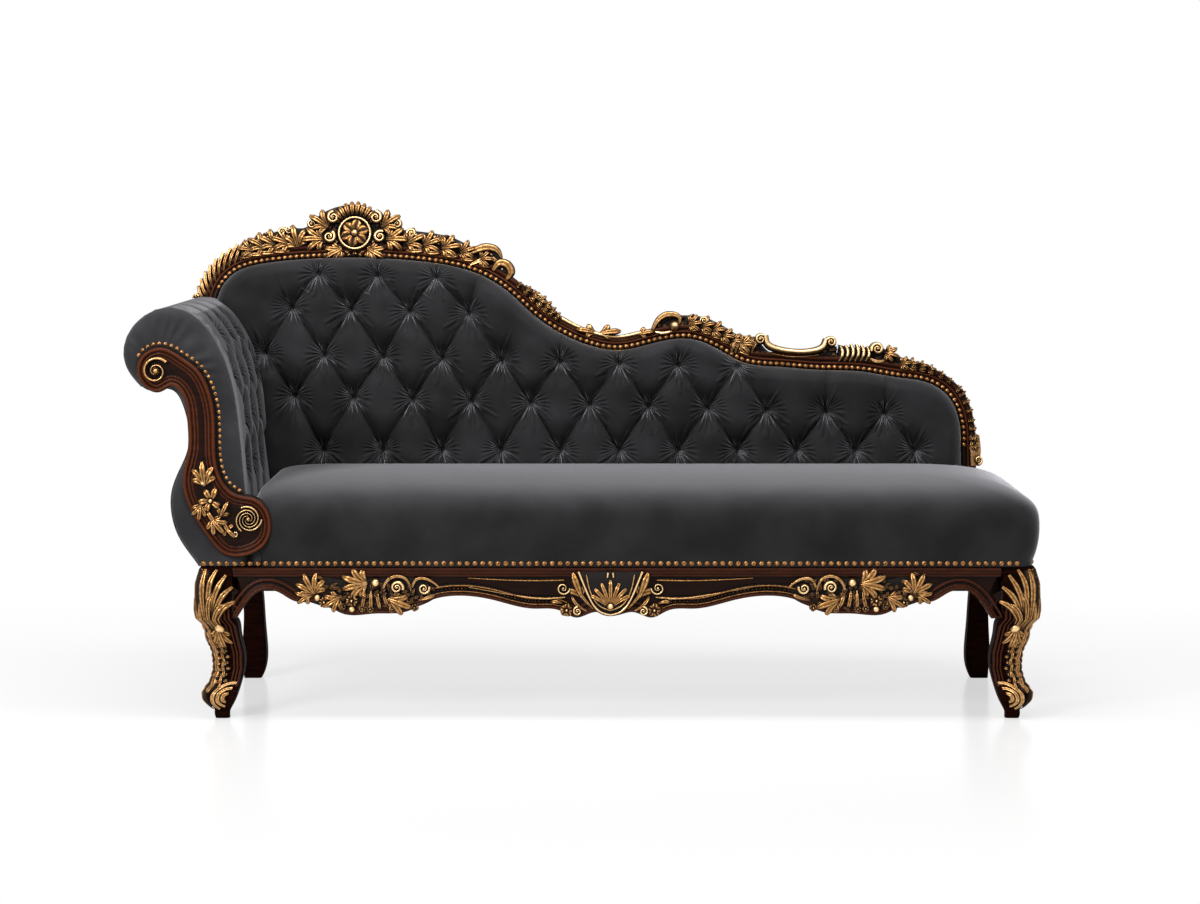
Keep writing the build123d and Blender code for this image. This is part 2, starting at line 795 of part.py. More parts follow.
# Seat cover, hessian and stuffing
def seat_body(inset):
    """Crowned body of the seat, all of it set in by a distance."""
    def outline(height, front_inset, end_inset, rear_inset, corner):
        left = SEAT_LEFT + inset + rear_inset
        right = SEAT_RIGHT - inset - end_inset
        front = SEAT_FRONT + inset + front_inset
        rear = pad_plane(height) - SEAT_REAR_GAP - inset - rear_inset
        place = Pos((left + right) / 2, (front + rear) / 2, height)
        return place * RectangleRounded(right - left, rear - front, corner)

    sections = []
    for height, front_inset, end_inset, rear_inset, corner in SEAT_SECTIONS:
        sections.append(outline(RAIL_TOP + height - inset, front_inset, end_inset, rear_inset, corner))
    return loft(sections)


def seat_plinth(inset):
    """Upright lower edge of the seat, where the nails go in."""
    rear = pad_plane(RAIL_TOP) - SEAT_REAR_GAP - inset
    width = SEAT_RIGHT - SEAT_LEFT - 2 * inset
    depth = rear - SEAT_FRONT - inset
    place = Pos((SEAT_LEFT + SEAT_RIGHT) / 2, (SEAT_FRONT + inset + rear) / 2, RAIL_TOP + FIT_GAP)
    return extrude(place * RectangleRounded(width, depth, SEAT_CORNER), SEAT_PLINTH)


notch = box(SEAT_LEFT - FAR, NOTCH_RIGHT, -FAR, NOTCH_DEPTH, 0, FAR)
seat_hollow = seat_body(SEAT_WALL) + seat_plinth(SEAT_WALL)
seat_shell = (seat_body(0) + seat_plinth(0)) - seat_hollow
pieces["seat_cover"] = seat_shell - notch
hessian_low = spring_foot + SPRING_HEIGHT + FIT_GAP
hessian_top = hessian_low + CLOTH_THICKNESS
filling = seat_body(SEAT_WALL) - notch
pieces["seat_hessian"] = filling & box(-FAR, FAR, -FAR, FAR, hessian_low, hessian_top)
pieces["seat_stuffing"] = filling & box(-FAR, FAR, -FAR, FAR, hessian_top + FIT_GAP, FAR)


# Back frame
def back_face(offset):
    """Face inside the nailed edge of the back, grown by an offset."""
    points = shifted(back_edge, offset)
    foot = -2 * RAIL_WIDTH
    edge = Spline(*points)
    return make_face(
        [
            edge,
            Line(points[-1], (points[-1][0], foot)),
            Line((points[-1][0], foot), (points[0][0], foot)),
            Line((points[0][0], foot), points[0]),
        ]
    )


rail_outer = back_face(RAIL_WIDTH)
nail_face = back_face(0)
flange_inner = back_face(-FLANGE_WIDTH)
show_rail = prism(rail_outer - nail_face, -RAIL_FACE, BACK_THICKNESS)
flange = prism(nail_face - flange_inner, 0, BACK_THICKNESS)
ring = show_rail + flange
left_outer = back_edge[0][0] - RAIL_WIDTH
left_inner = back_edge[0][0] + FLANGE_WIDTH
right_inner = back_edge[-1][0] - FLANGE_WIDTH
crest_split = along(CREST_SPLIT)
post_split = along(POST_SPLIT)
half_gap = FIT_GAP / 2
crest_high = ring & box(-FAR, crest_split - half_gap, -FAR, FAR, LEFT_POST_TOP, FAR)
crest_low = ring & box(crest_split + half_gap, post_split - half_gap, -FAR, FAR, LEFT_POST_TOP, FAR)
end_post = ring & box(post_split + half_gap, FAR, -FAR, FAR, -RAIL_WIDTH, FAR)
left_post = box(left_outer, left_inner, 0, BACK_THICKNESS, -RAIL_WIDTH, LEFT_POST_TOP)
bottom_rail = box(left_inner, right_inner, 0, BACK_THICKNESS, -RAIL_WIDTH, BACK_RAIL_HEIGHT)
stays = []
for place in STAY_PLACES:
    stay = prism(flange_inner, 0, BACK_THICKNESS)
    across = (along(place) - STAY_WIDTH / 2, along(place) + STAY_WIDTH / 2)
    stays.append(stay & box(*across, -FAR, FAR, BACK_RAIL_HEIGHT, FAR))
crest_dowels = []
for split in (crest_split, post_split):
    level = interpolate(back_edge, split, 0, 1) + CREST_DOWEL_LIFT
    start = (split - DOWEL_LENGTH / 2, BACK_THICKNESS / 2, level)
    end = (split + DOWEL_LENGTH / 2, BACK_THICKNESS / 2, level)
    crest_dowels.append(bar(start, end, DOWEL_RADIUS))
    hole_start = (start[0] - OVERRUN, *start[1:])
    hole_end = (end[0] + OVERRUN, *end[1:])
    hole = bar(hole_start, hole_end, DOWEL_RADIUS + HOLE_CLEARANCE)
    crest_high = crest_high - hole
    crest_low = crest_low - hole
    end_post = end_post - hole
pieces["crest_rail_low"] = lean(crest_low)
pieces["back_end_post"] = above_rail(lean(end_post))
pieces["back_left_post"] = above_rail(lean(left_post))
pieces["back_bottom_rail"] = above_rail(lean(bottom_rail))
pieces["back_stays"] = lean(group(stays))
pieces["crest_dowels"] = lean(group(crest_dowels))

# Bolts that hold the back on the rear rail
bolts = []
bolt_y = (REAR_RAIL_FRONT + REAR_RAIL_BACK) / 2
for index in range(BOLT_COUNT):
    x = FRAME_MIDDLE + (index - (BOLT_COUNT - 1) / 2) * BOLT_PITCH * STRETCH
    head_low = web_low - DUST_COVER_THICKNESS - BOLT_HEAD_HEIGHT - 2 * FIT_GAP
    head_top = head_low + BOLT_HEAD_HEIGHT
    top = RAIL_TOP + BOLT_REACH
    shank = bar((x, bolt_y, head_low), (x, bolt_y, top), BOLT_RADIUS)
    head = extrude(Pos(x, bolt_y, head_low) * RegularPolygon(BOLT_HEAD_RADIUS, 6), BOLT_HEAD_HEIGHT)
    bolts.append(shank + head)
    hole = bar((x, bolt_y, head_low), (x, bolt_y, top + OVERRUN), BOLT_RADIUS + HOLE_CLEARANCE)
    for name in ("rear_seat_rail", "back_bottom_rail", "dust_cover", "seat_webbing"):
        pieces[name] = solids_of(pieces[name] - hole)
pieces["back_bolts"] = group(bolts)

# Arm profile shared by the arm and by the cut of the back upholstery around it
arm_start = arm_profile[0]
around_arm = shifted(arm_profile, PAD_CLEARANCE)
far_left = arm_start[0] * 2
arm_hole_face = make_face(
    [
        Spline(*around_arm),
        Line(around_arm[-1], (around_arm[-1][0], 0)),
        Line((around_arm[-1][0], 0), (far_left, 0)),
        Line((far_left, 0), (far_left, around_arm[0][1])),
        Line((far_left, around_arm[0][1]), around_arm[0]),
    ]
)
arm_hole = prism(arm_hole_face, 0, FAR)
arm_socket = arm_hole & tilted_half(-FAR, 0)
pieces["crest_rail_high"] = lean(crest_high) - arm_socket

# Back upholstery
inner_field = back_face(-PAD_CLEARANCE)


def back_layer(field, front, back):
    """A layer of the back upholstery in its leaned place, cut around the arm."""
    return above_rail(lean(prism(field, front, back))) - arm_hole


web_back = []
for place in BACK_WEB_PLACES:
    strip = prism(inner_field, -WEB_THICKNESS, 0)
    across = (along(place) - WEB_WIDTH / 2, along(place) + WEB_WIDTH / 2)
    strip = strip & box(*across, -FAR, FAR, BACK_RAIL_HEIGHT / 2, FAR)
    web_back.append(lean(strip) - arm_hole)
low = -2 * WEB_THICKNESS - FIT_GAP
for level in BACK_WEB_ROWS:
    strip = prism(inner_field, low, low + WEB_THICKNESS)
    strip = strip & box(-FAR, FAR, -FAR, FAR, level - WEB_WIDTH / 2, level + WEB_WIDTH / 2)
    web_back.append(lean(strip) - arm_hole)
pieces["back_webbing"] = group(web_back)
cloth_back = low - FIT_GAP
cloth_front = cloth_back - CLOTH_THICKNESS
pieces["back_hessian"] = solids_of(back_layer(inner_field, cloth_front, cloth_back))
pieces["back_stuffing"] = solids_of(back_layer(inner_field, -STUFFING_FRONT, cloth_front - FIT_GAP))
outside_back = prism(
    back_face(OUTSIDE_BACK_LAP), BACK_THICKNESS + FIT_GAP, BACK_THICKNESS + FIT_GAP + OUTSIDE_BACK_THICKNESS
)
pieces["outside_back_cover"] = above_rail(lean(outside_back))


def edge_height(x):
    """Height of the nailed edge at a place along X."""
    return interpolate(back_edge, x, 0, 1)


buttons = []
for row, row_level in enumerate(BUTTON_LEVELS):
    for column in range(BUTTON_COLUMNS):
        x = along(BUTTON_START) + column * button_pitch + (row % 2) * button_pitch / 2
        x = x - BUTTON_LEAN * max(row - BUTTON_LEANING_ROW, 0)
        level = row_level
        if row > 0:
            level = row_level - BUTTON_TILT * x
        arm_side = interpolate(arm_inside, RAIL_TOP + level * COS_RECLINE, 1, 0)
        clear_of_arm = x > max(arm_side + BUTTON_MARGIN, back_edge[0][0] + BUTTON_CORNER_MARGIN)
        clear_of_end = x < back_edge[-1][0] - BUTTON_END_MARGIN
        if clear_of_arm and clear_of_end and level < edge_height(x) - BUTTON_TOP_MARGIN:
            buttons.append((row, column, x, level))


def pleat(start, end, front, half_width, depth):
    """A wedge that presses a pleat into a pad facing the front."""
    run = Vector(*end) - Vector(*start)
    unit = run.normalized()
    plane = Plane(origin=start, x_dir=(unit.Z, 0, -unit.X), z_dir=unit)
    mouth = front - OVERRUN
    wedge = make_face(Polyline((-half_width, mouth), (half_width, mouth), (0, front + depth), close=True))
    return extrude(plane * wedge, run.length)


pad_sections = []
for depth, inset in (
    (-STUFFING_FRONT - FIT_GAP, PAD_CLEARANCE),
    (-PAD_FRONT + PAD_SHOULDER, PAD_CLEARANCE),
    (-PAD_FRONT, PAD_CLEARANCE + PAD_SHOULDER),
):
    plane = Plane(origin=(0, depth, 0), x_dir=(1, 0, 0), z_dir=(0, -1, 0))
    pad_sections.append(plane * back_face(-inset))
pad_cover = loft(pad_sections, ruled=True)
press = []
button_solids = []
placed = {(row, column): (x, level) for row, column, x, level in buttons}
for row, column, x, level in buttons:
    cone = Cone(
        TUFT_RADIUS,
        BUTTON_RADIUS + OVERRUN,
        TUFT_DEPTH + OVERRUN,
        align=(Align.CENTER, Align.CENTER, Align.MIN),
    )
    press.append(Location((x, -PAD_FRONT - OVERRUN, level), (-90, 0, 0)) * cone)
    seat_level = -PAD_FRONT + TUFT_DEPTH
    knob = Cylinder(BUTTON_RADIUS, BUTTON_HEIGHT, align=(Align.CENTER, Align.CENTER, Align.MAX))
    knob = fillet(knob.edges().sort_by(Axis.Z)[0], BUTTON_HEIGHT / 2)
    button_solids.append(Location((x, seat_level, level), (-90, 0, 0)) * knob)
    above = 0
    for step in (row % 2 - 1, row % 2):
        other = placed.get((row + 1, column + step))
        if other is not None:
            above += 1
            far_end = (other[0], 0, other[1])
            press.append(pleat((x, 0, level), far_end, -PAD_FRONT, PLEAT_HALF_WIDTH, PLEAT_DEPTH))
    if above == 0:
        top = (x, 0, edge_height(x) + RAIL_WIDTH)
        press.append(pleat((x, 0, level), top, -PAD_FRONT, PLEAT_HALF_WIDTH, PLEAT_DEPTH))
    if row == 0:
        press.append(pleat((x, 0, -RAIL_WIDTH), (x, 0, level), -PAD_FRONT, PLEAT_HALF_WIDTH, PLEAT_DEPTH))
pad_cover = pad_cover.cut(*press)
pieces["back_cover"] = solids_of(above_rail(lean(pad_cover)) - arm_hole)
pieces["back_buttons"] = lean(group(button_solids))

# Arm
facing_face = make_face(Spline(*facing_outline, periodic=True))
closed_outline = [facing_outline[-1], *facing_outline, facing_outline[0]]
clear_outline = shifted(closed_outline, CARVING_GAP)[1:-1]
facing_clear = make_face(Spline(*clear_outline, periodic=True))
core_line = Spline(*core_run)
core_face = trace(core_line, CORE_WIDTH) + Pos(*core_run[-1]) * Circle(CORE_SCROLL_RADIUS)
core_end = Pos(*core_run[-1]) * Circle(CORE_SCROLL_RADIUS + FIT_GAP)
core_clear = trace(core_line, CORE_WIDTH + 2 * FIT_GAP) + core_end
facing_rear = FACING_BACK + FIT_GAP
facing = prism(facing_face, FACING_FRONT, FACING_BACK)
pieces["arm_facing"] = facing
frame_back = facing_rear + ARM_FRAME_THICKNESS
pieces["arm_front_frame"] = above_rail(prism(core_face, facing_rear, frame_back))
rear_slab = tilted_half(-ARM_FRAME_THICKNESS, -FIT_GAP)
pieces["arm_rear_frame"] = above_rail(prism(core_face, FACING_BACK, FAR)) & rear_slab
before_frame = tilted_half(-FAR, -ARM_FRAME_THICKNESS - FIT_GAP)
before_back = tilted_half(-FAR, -FIT_GAP)
scroll = core_run[-1]
top_rail_front = (scroll[0], frame_back + FIT_GAP, scroll[1])
top_rail = bar(top_rail_front, (scroll[0], FAR, scroll[1]), ARM_TOP_RAIL_RADIUS)
pieces["arm_top_rail"] = top_rail & before_frame
low_x = core_run[0][0]
bottom_low = RAIL_TOP + FIT_GAP
low_rail = box(
    low_x - ARM_BOTTOM_RAIL_WIDTH / 2,
    low_x + ARM_BOTTOM_RAIL_WIDTH / 2,
    frame_back + FIT_GAP,
    FAR,
    bottom_low,
    bottom_low + ARM_BOTTOM_RAIL_HEIGHT,
)
pieces["arm_bottom_rail"] = low_rail & before_frame


def between(first, second):
    """Face between two lines of points that run the same way."""
    return make_face(
        [
            Spline(*first),
            Line(first[-1], second[-1]),
            Spline(*second),
            Line(second[0], first[0]),
        ]
    )


inner_profile = shifted(arm_profile, -ARM_PAD_THICKNESS)
stuff_profile = shifted(arm_profile, -ARM_PAD_THICKNESS - FIT_GAP)
core_points = list(reversed(core_run))
arm_pad_face = between(arm_profile, inner_profile) - core_clear
arm_pad = above_rail(prism(arm_pad_face, facing_rear, FAR)) & before_back
arm_press = []
arm_buttons = []
arm_button_solids = []
for row in range(ARM_BUTTON_ROWS):
    for column in range(ARM_BUTTON_COLUMNS - row % 2):
        y = ARM_BUTTON_START_Y + column * ARM_BUTTON_PITCH_Y + (row % 2) * ARM_BUTTON_PITCH_Y / 2
        z = ARM_BUTTON_START_Z + row * ARM_BUTTON_PITCH_Z
        x = interpolate(arm_inside, z, 1, 0)
        arm_buttons.append((row, x, y, z))
for row, x, y, z in arm_buttons:
    cone = Cone(
        BUTTON_RADIUS + OVERRUN,
        ARM_TUFT_RADIUS,
        ARM_TUFT_DEPTH + ARM_TUFT_OVERRUN,
        align=(Align.CENTER, Align.CENTER, Align.MIN),
    )
    arm_press.append(Location((x - ARM_TUFT_DEPTH, y, z), (0, 90, 0)) * cone)
    knob = Cylinder(BUTTON_RADIUS, BUTTON_HEIGHT, align=(Align.CENTER, Align.CENTER, Align.MIN))
    knob = fillet(knob.edges().sort_by(Axis.Z)[-1], BUTTON_HEIGHT / 2)
    arm_button_solids.append(Location((x - ARM_TUFT_DEPTH, y, z), (0, 90, 0)) * knob)
    for other_row, other_x, other_y, other_z in arm_buttons:
        if other_row == row + 1 and abs(other_y - y) < ARM_BUTTON_PITCH_Y:
            run = Vector(other_x - x, other_y - y, other_z - z)
            plane = Plane(origin=(x, y, z), x_dir=Vector(0, run.Z, -run.Y), z_dir=run)
            inward = 1 if plane.y_dir.X < 0 else -1
            wedge = make_face(
                Polyline(
                    (-ARM_PLEAT_HALF_WIDTH, -inward * ARM_PLEAT_DEPTH / 2),
                    (ARM_PLEAT_HALF_WIDTH, -inward * ARM_PLEAT_DEPTH / 2),
                    (0, inward * ARM_PLEAT_DEPTH),
                    close=True,
                )
            )
            arm_press.append(extrude(plane * wedge, run.length))
pieces["inside_arm_cover"] = arm_pad.cut(*arm_press)
pieces["arm_buttons"] = group(arm_button_solids)
stuffing_face = between(stuff_profile, core_points) - core_clear
rail_room = box(
    low_x - ARM_BOTTOM_RAIL_WIDTH / 2 - FIT_GAP,
    low_x + ARM_BOTTOM_RAIL_WIDTH / 2 + FIT_GAP,
    0,
    FAR,
    0,
    bottom_low + ARM_BOTTOM_RAIL_HEIGHT + FIT_GAP,
)
arm_stuffing = (above_rail(prism(stuffing_face, facing_rear, FAR)) & before_back) - rail_room
pieces["arm_stuffing"] = arm_stuffing
outside_inner = shifted(arm_outside, ARM_PANEL_THICKNESS)
outside_panel = prism(between(arm_outside, outside_inner), facing_rear, FAR)
pieces["outside_arm_cover"] = above_rail(outside_panel) & before_back
band = Pos((FRAME_LEFT + ARM_BAND_RIGHT) / 2, (RAIL_TOP + ARM_BAND_TOP) / 2) * Rectangle(
    ARM_BAND_RIGHT - FRAME_LEFT, ARM_BAND_TOP - RAIL_TOP
)
lower_outside = between(arm_outside[2:], list(reversed(core_run[:-3])))
border_face = between(arm_profile, core_points) + lower_outside + band
border = above_rail(prism(border_face, SEAT_FRONT, FACING_BACK))
border = border - prism(facing_clear, 2 * FACING_FRONT, 2 * FACING_BACK)
pieces["arm_border"] = solids_of(border)

# Applied carving
rail_volume = lean(prism(back_face(RAIL_WIDTH + CARVING_GAP), -RAIL_FACE - CARVING_GAP, FAR))
nail_zone = lean(prism(back_face(CARVING_FOOT), -FAR, FAR))
for name, drawn in CREST_CARVINGS.items():
    points = stretched(drawn)
    foot = min(level for _, level in points) - CARVING_ROOT
    if name == "end_carving":
        foot = END_CARVING_FOOT
    last = (points[-1][0], foot)
    first = (points[0][0], foot)
    face = make_face([Spline(*points), Line(points[-1], last), Line(last, first), Line(first, points[0])])
    body = lean(prism(face, -RAIL_FACE - CARVING_RELIEF, CARVING_BACK))
    body = body - rail_volume - nail_zone - arm_hole
    pieces[name] = body.solids().sort_by(SortBy.VOLUME)[-1]
shield_middle = APRON_MIDDLE + SHIELD_SHIFT
half = [(shield_middle + place, level) for place, level in CARTOUCHE_HALF]
other_half = [(shield_middle - place, level) for place, level in reversed(CARTOUCHE_HALF[1:-1])]
cartouche = make_face(Spline(*half, *other_half, periodic=True))
pieces["apron_cartouche"] = prism(cartouche, -APRON_RELIEF, -CARVING_GAP)
for name, side in (("apron_spray_left", -1), ("apron_spray_right", 1)):
    middle = SPRAY_PLACE * STRETCH
    points = [(APRON_MIDDLE + side * (middle + place), level) for place, level in SPRAY_OUTLINE]
    pieces[name] = prism(make_face(Spline(*points, periodic=True)), -APRON_RELIEF, -CARVING_GAP)
for name, side in (("knee_carving_left", -1), ("knee_carving_right", 1)):
    outer = FRAME_MIDDLE + side * FRAME_LENGTH / 2
    inner = outer - side * (FRONT_BLOCK - KNEE_MARGIN)
    front_plate = box(*sorted((outer, inner)), -KNEE_RELIEF, -CARVING_GAP, KNEE_BOTTOM, KNEE_TOP)
    side_faces = sorted((outer + side * CARVING_GAP, outer + side * KNEE_RELIEF))
    side_plate = box(*side_faces, 0, FRONT_BLOCK - KNEE_MARGIN, KNEE_BOTTOM, KNEE_TOP)
    pieces[name] = group([front_plate, side_plate])
leaf = make_face(Spline(*facing_leaf, periodic=True))
pieces["arm_facing_carving"] = prism(leaf, FACING_FRONT - FACING_LEAF_RELIEF, FACING_FRONT - CARVING_GAP)

# Nails
back_nail_line = Spline(*shifted(back_edge, BACK_NAIL_OFFSET))
arm_top = (max(level for _, level in arm_profile) - RAIL_TOP) / COS_RECLINE + 2 * BACK_NAIL_RADIUS
nails_start = (SEAT_LEFT, arm_top)
back_heads = nails_along(back_nail_line, BACK_NAIL_PITCH, BACK_NAIL_RADIUS, -RAIL_FACE, nails_start)
pieces["back_nails"] = lean(group(back_heads))
nail_level = RAIL_TOP + SEAT_NAIL_LIFT
seat_run = Line((FRAME_LEFT + SEAT_NAIL_PITCH / 2, nail_level), (SEAT_RIGHT - SEAT_CORNER, nail_level))
seat_heads = nails_along(seat_run, SEAT_NAIL_PITCH, SEAT_NAIL_RADIUS, SEAT_FRONT, (FRAME_LEFT, 0))
end_head = nail(SEAT_NAIL_RADIUS)
end_depth = pad_plane(RAIL_TOP) - SEAT_REAR_GAP - SEAT_FRONT - 2 * SEAT_CORNER
end_count = int(end_depth // SEAT_NAIL_PITCH)
for index in range(end_count + 1):
    y = SEAT_FRONT + SEAT_CORNER + index * end_depth / end_count
    seat_heads.append(Location((SEAT_RIGHT, y, nail_level), (0, 90, 0)) * end_head)
pieces["seat_nails"] = group(seat_heads)
arm_nail_points = shifted(facing_outline[ARM_NAILS_FROM:ARM_NAILS_TO], ARM_NAIL_OFFSET)
arm_heads = nails_along(Spline(*arm_nail_points), ARM_NAIL_PITCH, ARM_NAIL_RADIUS, SEAT_FRONT, (-FAR, 0))
pieces["arm_nails"] = group(arm_heads)

# Move everything so that the middle of the whole outline stands over the origin
boxes = [shape.bounding_box() for shape in pieces.values()]
middle_x = (min(b.min.X for b in boxes) + max(b.max.X for b in boxes)) / 2
middle_y = (min(b.min.Y for b in boxes) + max(b.max.Y for b in boxes)) / 2
os.makedirs("parts", exist_ok=True)
for name, shape in pieces.items():
    export_step(Pos(-middle_x, -middle_y, 0) * shape, f"parts/{name}.step")
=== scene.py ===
import functools
import json
import math

import bpy
import numpy as np
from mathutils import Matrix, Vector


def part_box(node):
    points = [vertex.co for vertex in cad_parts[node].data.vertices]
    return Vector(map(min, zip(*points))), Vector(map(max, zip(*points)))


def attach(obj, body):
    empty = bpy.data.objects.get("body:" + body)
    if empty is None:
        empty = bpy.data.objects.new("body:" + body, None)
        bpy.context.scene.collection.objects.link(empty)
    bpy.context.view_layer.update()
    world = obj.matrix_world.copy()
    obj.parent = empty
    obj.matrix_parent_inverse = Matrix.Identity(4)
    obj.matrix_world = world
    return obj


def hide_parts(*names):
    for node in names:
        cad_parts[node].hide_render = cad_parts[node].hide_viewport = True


# Looks of the chaise longue. Sizes are in millimetres in the same working places as the solids:
# X along the seat, Y from the front face of the apron to the back, Z up from the floor.
# put() moves them to the shared frame and turns them into metres.
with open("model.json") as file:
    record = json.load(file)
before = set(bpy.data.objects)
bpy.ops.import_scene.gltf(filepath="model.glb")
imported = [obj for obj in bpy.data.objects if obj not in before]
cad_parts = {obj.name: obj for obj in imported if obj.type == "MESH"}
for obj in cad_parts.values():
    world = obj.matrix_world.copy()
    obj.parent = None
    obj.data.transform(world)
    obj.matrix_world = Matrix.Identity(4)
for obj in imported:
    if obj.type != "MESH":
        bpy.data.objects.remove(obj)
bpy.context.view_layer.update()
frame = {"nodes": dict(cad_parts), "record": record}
MM = 0.001
SEED = 7
APRON_LEFT, APRON_RIGHT = -702.0, 844.0
apron_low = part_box("front_seat_rail")[0]
ORIGIN = np.array([apron_low[0] - APRON_LEFT * MM, apron_low[1], 0.0])
random = np.random.default_rng(SEED)
scene = bpy.context.scene

RAIL_TOP = 310.0
RECLINE = math.radians(8.0)
BACK_FOOT_Y = 550.0

# Nailed edge of the back: place along X, height up the leaned back
BACK_EDGE = [
    (-800, 300), (-800, 400), (-800, 470), (-793, 527), (-762, 572), (-690, 597), (-600, 606), (-510, 609),
    (-400, 605), (-310, 595), (-235, 576), (-158, 530), (-108, 484), (-63, 452), (8, 419), (75, 407),
    (150, 422), (235, 431), (300, 405), (345, 381), (420, 371), (512, 364), (600, 361), (680, 348),
    (745, 337), (789, 309), (812, 265), (818, 200), (818, 130), (818, 60), (818, 2),
]
FACING_OUTLINE = [
    (-887, 705), (-880, 731), (-856, 750), (-831, 752), (-798, 735), (-764, 709), (-743, 672), (-731, 615),
    (-730, 545), (-720, 493), (-690, 460), (-655, 452), (-630, 432), (-620, 401), (-630, 360), (-660, 338),
    (-715, 337), (-746, 368), (-784, 429), (-798, 490), (-787, 545), (-787, 610), (-799, 660), (-816, 674),
    (-839, 663), (-870, 672),
]
ARM_PROFILE = [
    (-882, 672), (-909, 708), (-916, 738), (-906, 778), (-873, 814), (-823, 830), (-775, 814), (-735, 768),
    (-709, 710), (-693, 640), (-684, 560), (-677, 480), (-671, 400), (-668, 311),
]
# Place of the highest point in the profile of the arm
ARM_CROWN = 5
ARM_OUTSIDE = [
    (-845, 668), (-815, 664), (-799, 640), (-788, 600), (-789, 545), (-808, 500), (-822, 460), (-822, 415),
    (-807, 368), (-783, 332), (-768, 311),
]
# Centre of the upper scroll of the arm
SCROLL_CENTRE = (-848, 705)
APRON_MIDDLE = 64.0
APRON_HALF = [
    (0, 212), (38, 219), (75, 208), (108, 222), (160, 226), (240, 243), (320, 252), (370, 242), (417, 220),
    (480, 216), (545, 216), (590, 238), (640, 241), (675, 260), (705, 263), (730, 246),
    (748, 222), (758, 206),
]


def put(points):
    """Working places in millimetres to the shared frame in metres."""
    return np.asarray(points, float) * MM + ORIGIN


def on_front(depth):
    """Map of a flat upright front: along, up and out become X, Z and towards the viewer."""
    def place(flat):
        return np.stack([flat[:, 0], depth - flat[:, 2], flat[:, 1]], axis=1)
    return place


def on_back(flat):
    """Map of the leaned back: along, up the back, and out from the front of the back frame."""
    along, up, out = flat.T
    y = BACK_FOOT_Y - out * math.cos(RECLINE) + up * math.sin(RECLINE)
    z = RAIL_TOP + out * math.sin(RECLINE) + up * math.cos(RECLINE)
    return np.stack([along, y, z], axis=1)


def back_front(height):
    """Y of the front of the back frame at a height above the floor."""
    return BACK_FOOT_Y + (height - RAIL_TOP) * math.tan(RECLINE)


# Shares and curves
def unit(value):
    """A value kept between 0 and 1."""
    return np.clip(value, 0, 1)


def dome(value):
    """A quarter-round rise from 0 to 1."""
    return np.sqrt(1 - (1 - unit(value)) ** 2)


def bell(value):
    """A bell curve that is 1 in the middle."""
    return np.exp(-value ** 2)


def ways(angle):
    """Flat unit directions at angles in radians."""
    return np.stack([np.cos(angle), np.sin(angle)], axis=-1)


def spread_along(values, count):
    """A few values blended over so many even steps."""
    return np.interp(np.linspace(0, 1, count), np.linspace(0, 1, len(values)), values)


def with_column(flat, values):
    """Flat points with one more value each, such as a height."""
    return np.concatenate([flat, np.broadcast_to(values, len(flat))[:, None]], axis=1)


# Lines
WRAP, DENSE_POINTS = 4, 1500
CHUNK = 4000


def run_of(line):
    """Length from the start of a line to each of its points."""
    return np.concatenate([[0], np.cumsum(np.linalg.norm(np.diff(line, axis=0), axis=1))])


def resample(line, places):
    """Points at given lengths along a line."""
    run = run_of(line)
    return np.stack([np.interp(places, run, line[:, k]) for k in range(line.shape[1])], axis=1)


def cubic(knots, values, places):
    """Natural cubic curve through values at knots."""
    count = len(knots)
    gaps = np.diff(knots)
    slopes = np.diff(values, axis=0) / gaps[:, None]
    matrix = np.eye(count)
    bends = np.zeros_like(values)
    for i in range(1, count - 1):
        matrix[i, i - 1:i + 2] = gaps[i - 1], 2 * (gaps[i - 1] + gaps[i]), gaps[i]
        bends[i] = 6 * (slopes[i] - slopes[i - 1])
    second = np.linalg.solve(matrix, bends)
    i = np.clip(np.searchsorted(knots, places) - 1, 0, count - 2)
    gap = gaps[i][:, None]
    a = (knots[i + 1] - places)[:, None] / gap
    b = 1 - a
    curve = (a ** 3 - a) * second[i] + (b ** 3 - b) * second[i + 1]
    return a * values[i] + b * values[i + 1] + curve * gap ** 2 / 6


def smooth_line(points, step, closed=False):
    """Evenly spaced points on a smooth line through a few points."""
    points = np.asarray(points, float)
    if closed:
        points = np.concatenate([points[-WRAP:], points, points[:WRAP + 1]])
    knots = run_of(points)
    start, end = (knots[WRAP], knots[-WRAP - 1]) if closed else (knots[0], knots[-1])
    dense = cubic(knots, points, np.linspace(start, end, DENSE_POINTS))
    length = run_of(dense)[-1]
    places = np.linspace(0, length, max(int(length / step), 2) + 1)
    return resample(dense, places[:-1] if closed else places)


def straight_line(points, step):
    """Evenly spaced points along straight runs, with the corners kept."""
    points = np.asarray(points, float)
    run = run_of(points)
    return resample(points, np.union1d(np.arange(0, run[-1], step), run))


def level_line(first, last, height, count):
    """Evenly spaced points along one level."""
    return np.stack([np.linspace(first, last, count), np.full(count, height)], axis=1)


def normals_of(line):
    """Unit normals to the left of a flat line."""
    run = np.gradient(line, axis=0)
    run /= np.linalg.norm(run, axis=1)[:, None] + 1e-9
    return np.stack([-run[:, 1], run[:, 0]], axis=1)


def nearest(points, line):
    """Distance to a line of points and the index of the nearest one."""
    distance = np.empty(len(points))
    index = np.empty(len(points), int)
    for start in range(0, len(points), CHUNK):
        part = slice(start, start + CHUNK)
        square = ((points[part][:, None, :] - line[None, :, :]) ** 2).sum(axis=2)
        index[part] = square.argmin(axis=1)
        distance[part] = np.sqrt(square.min(axis=1))
    return distance, index


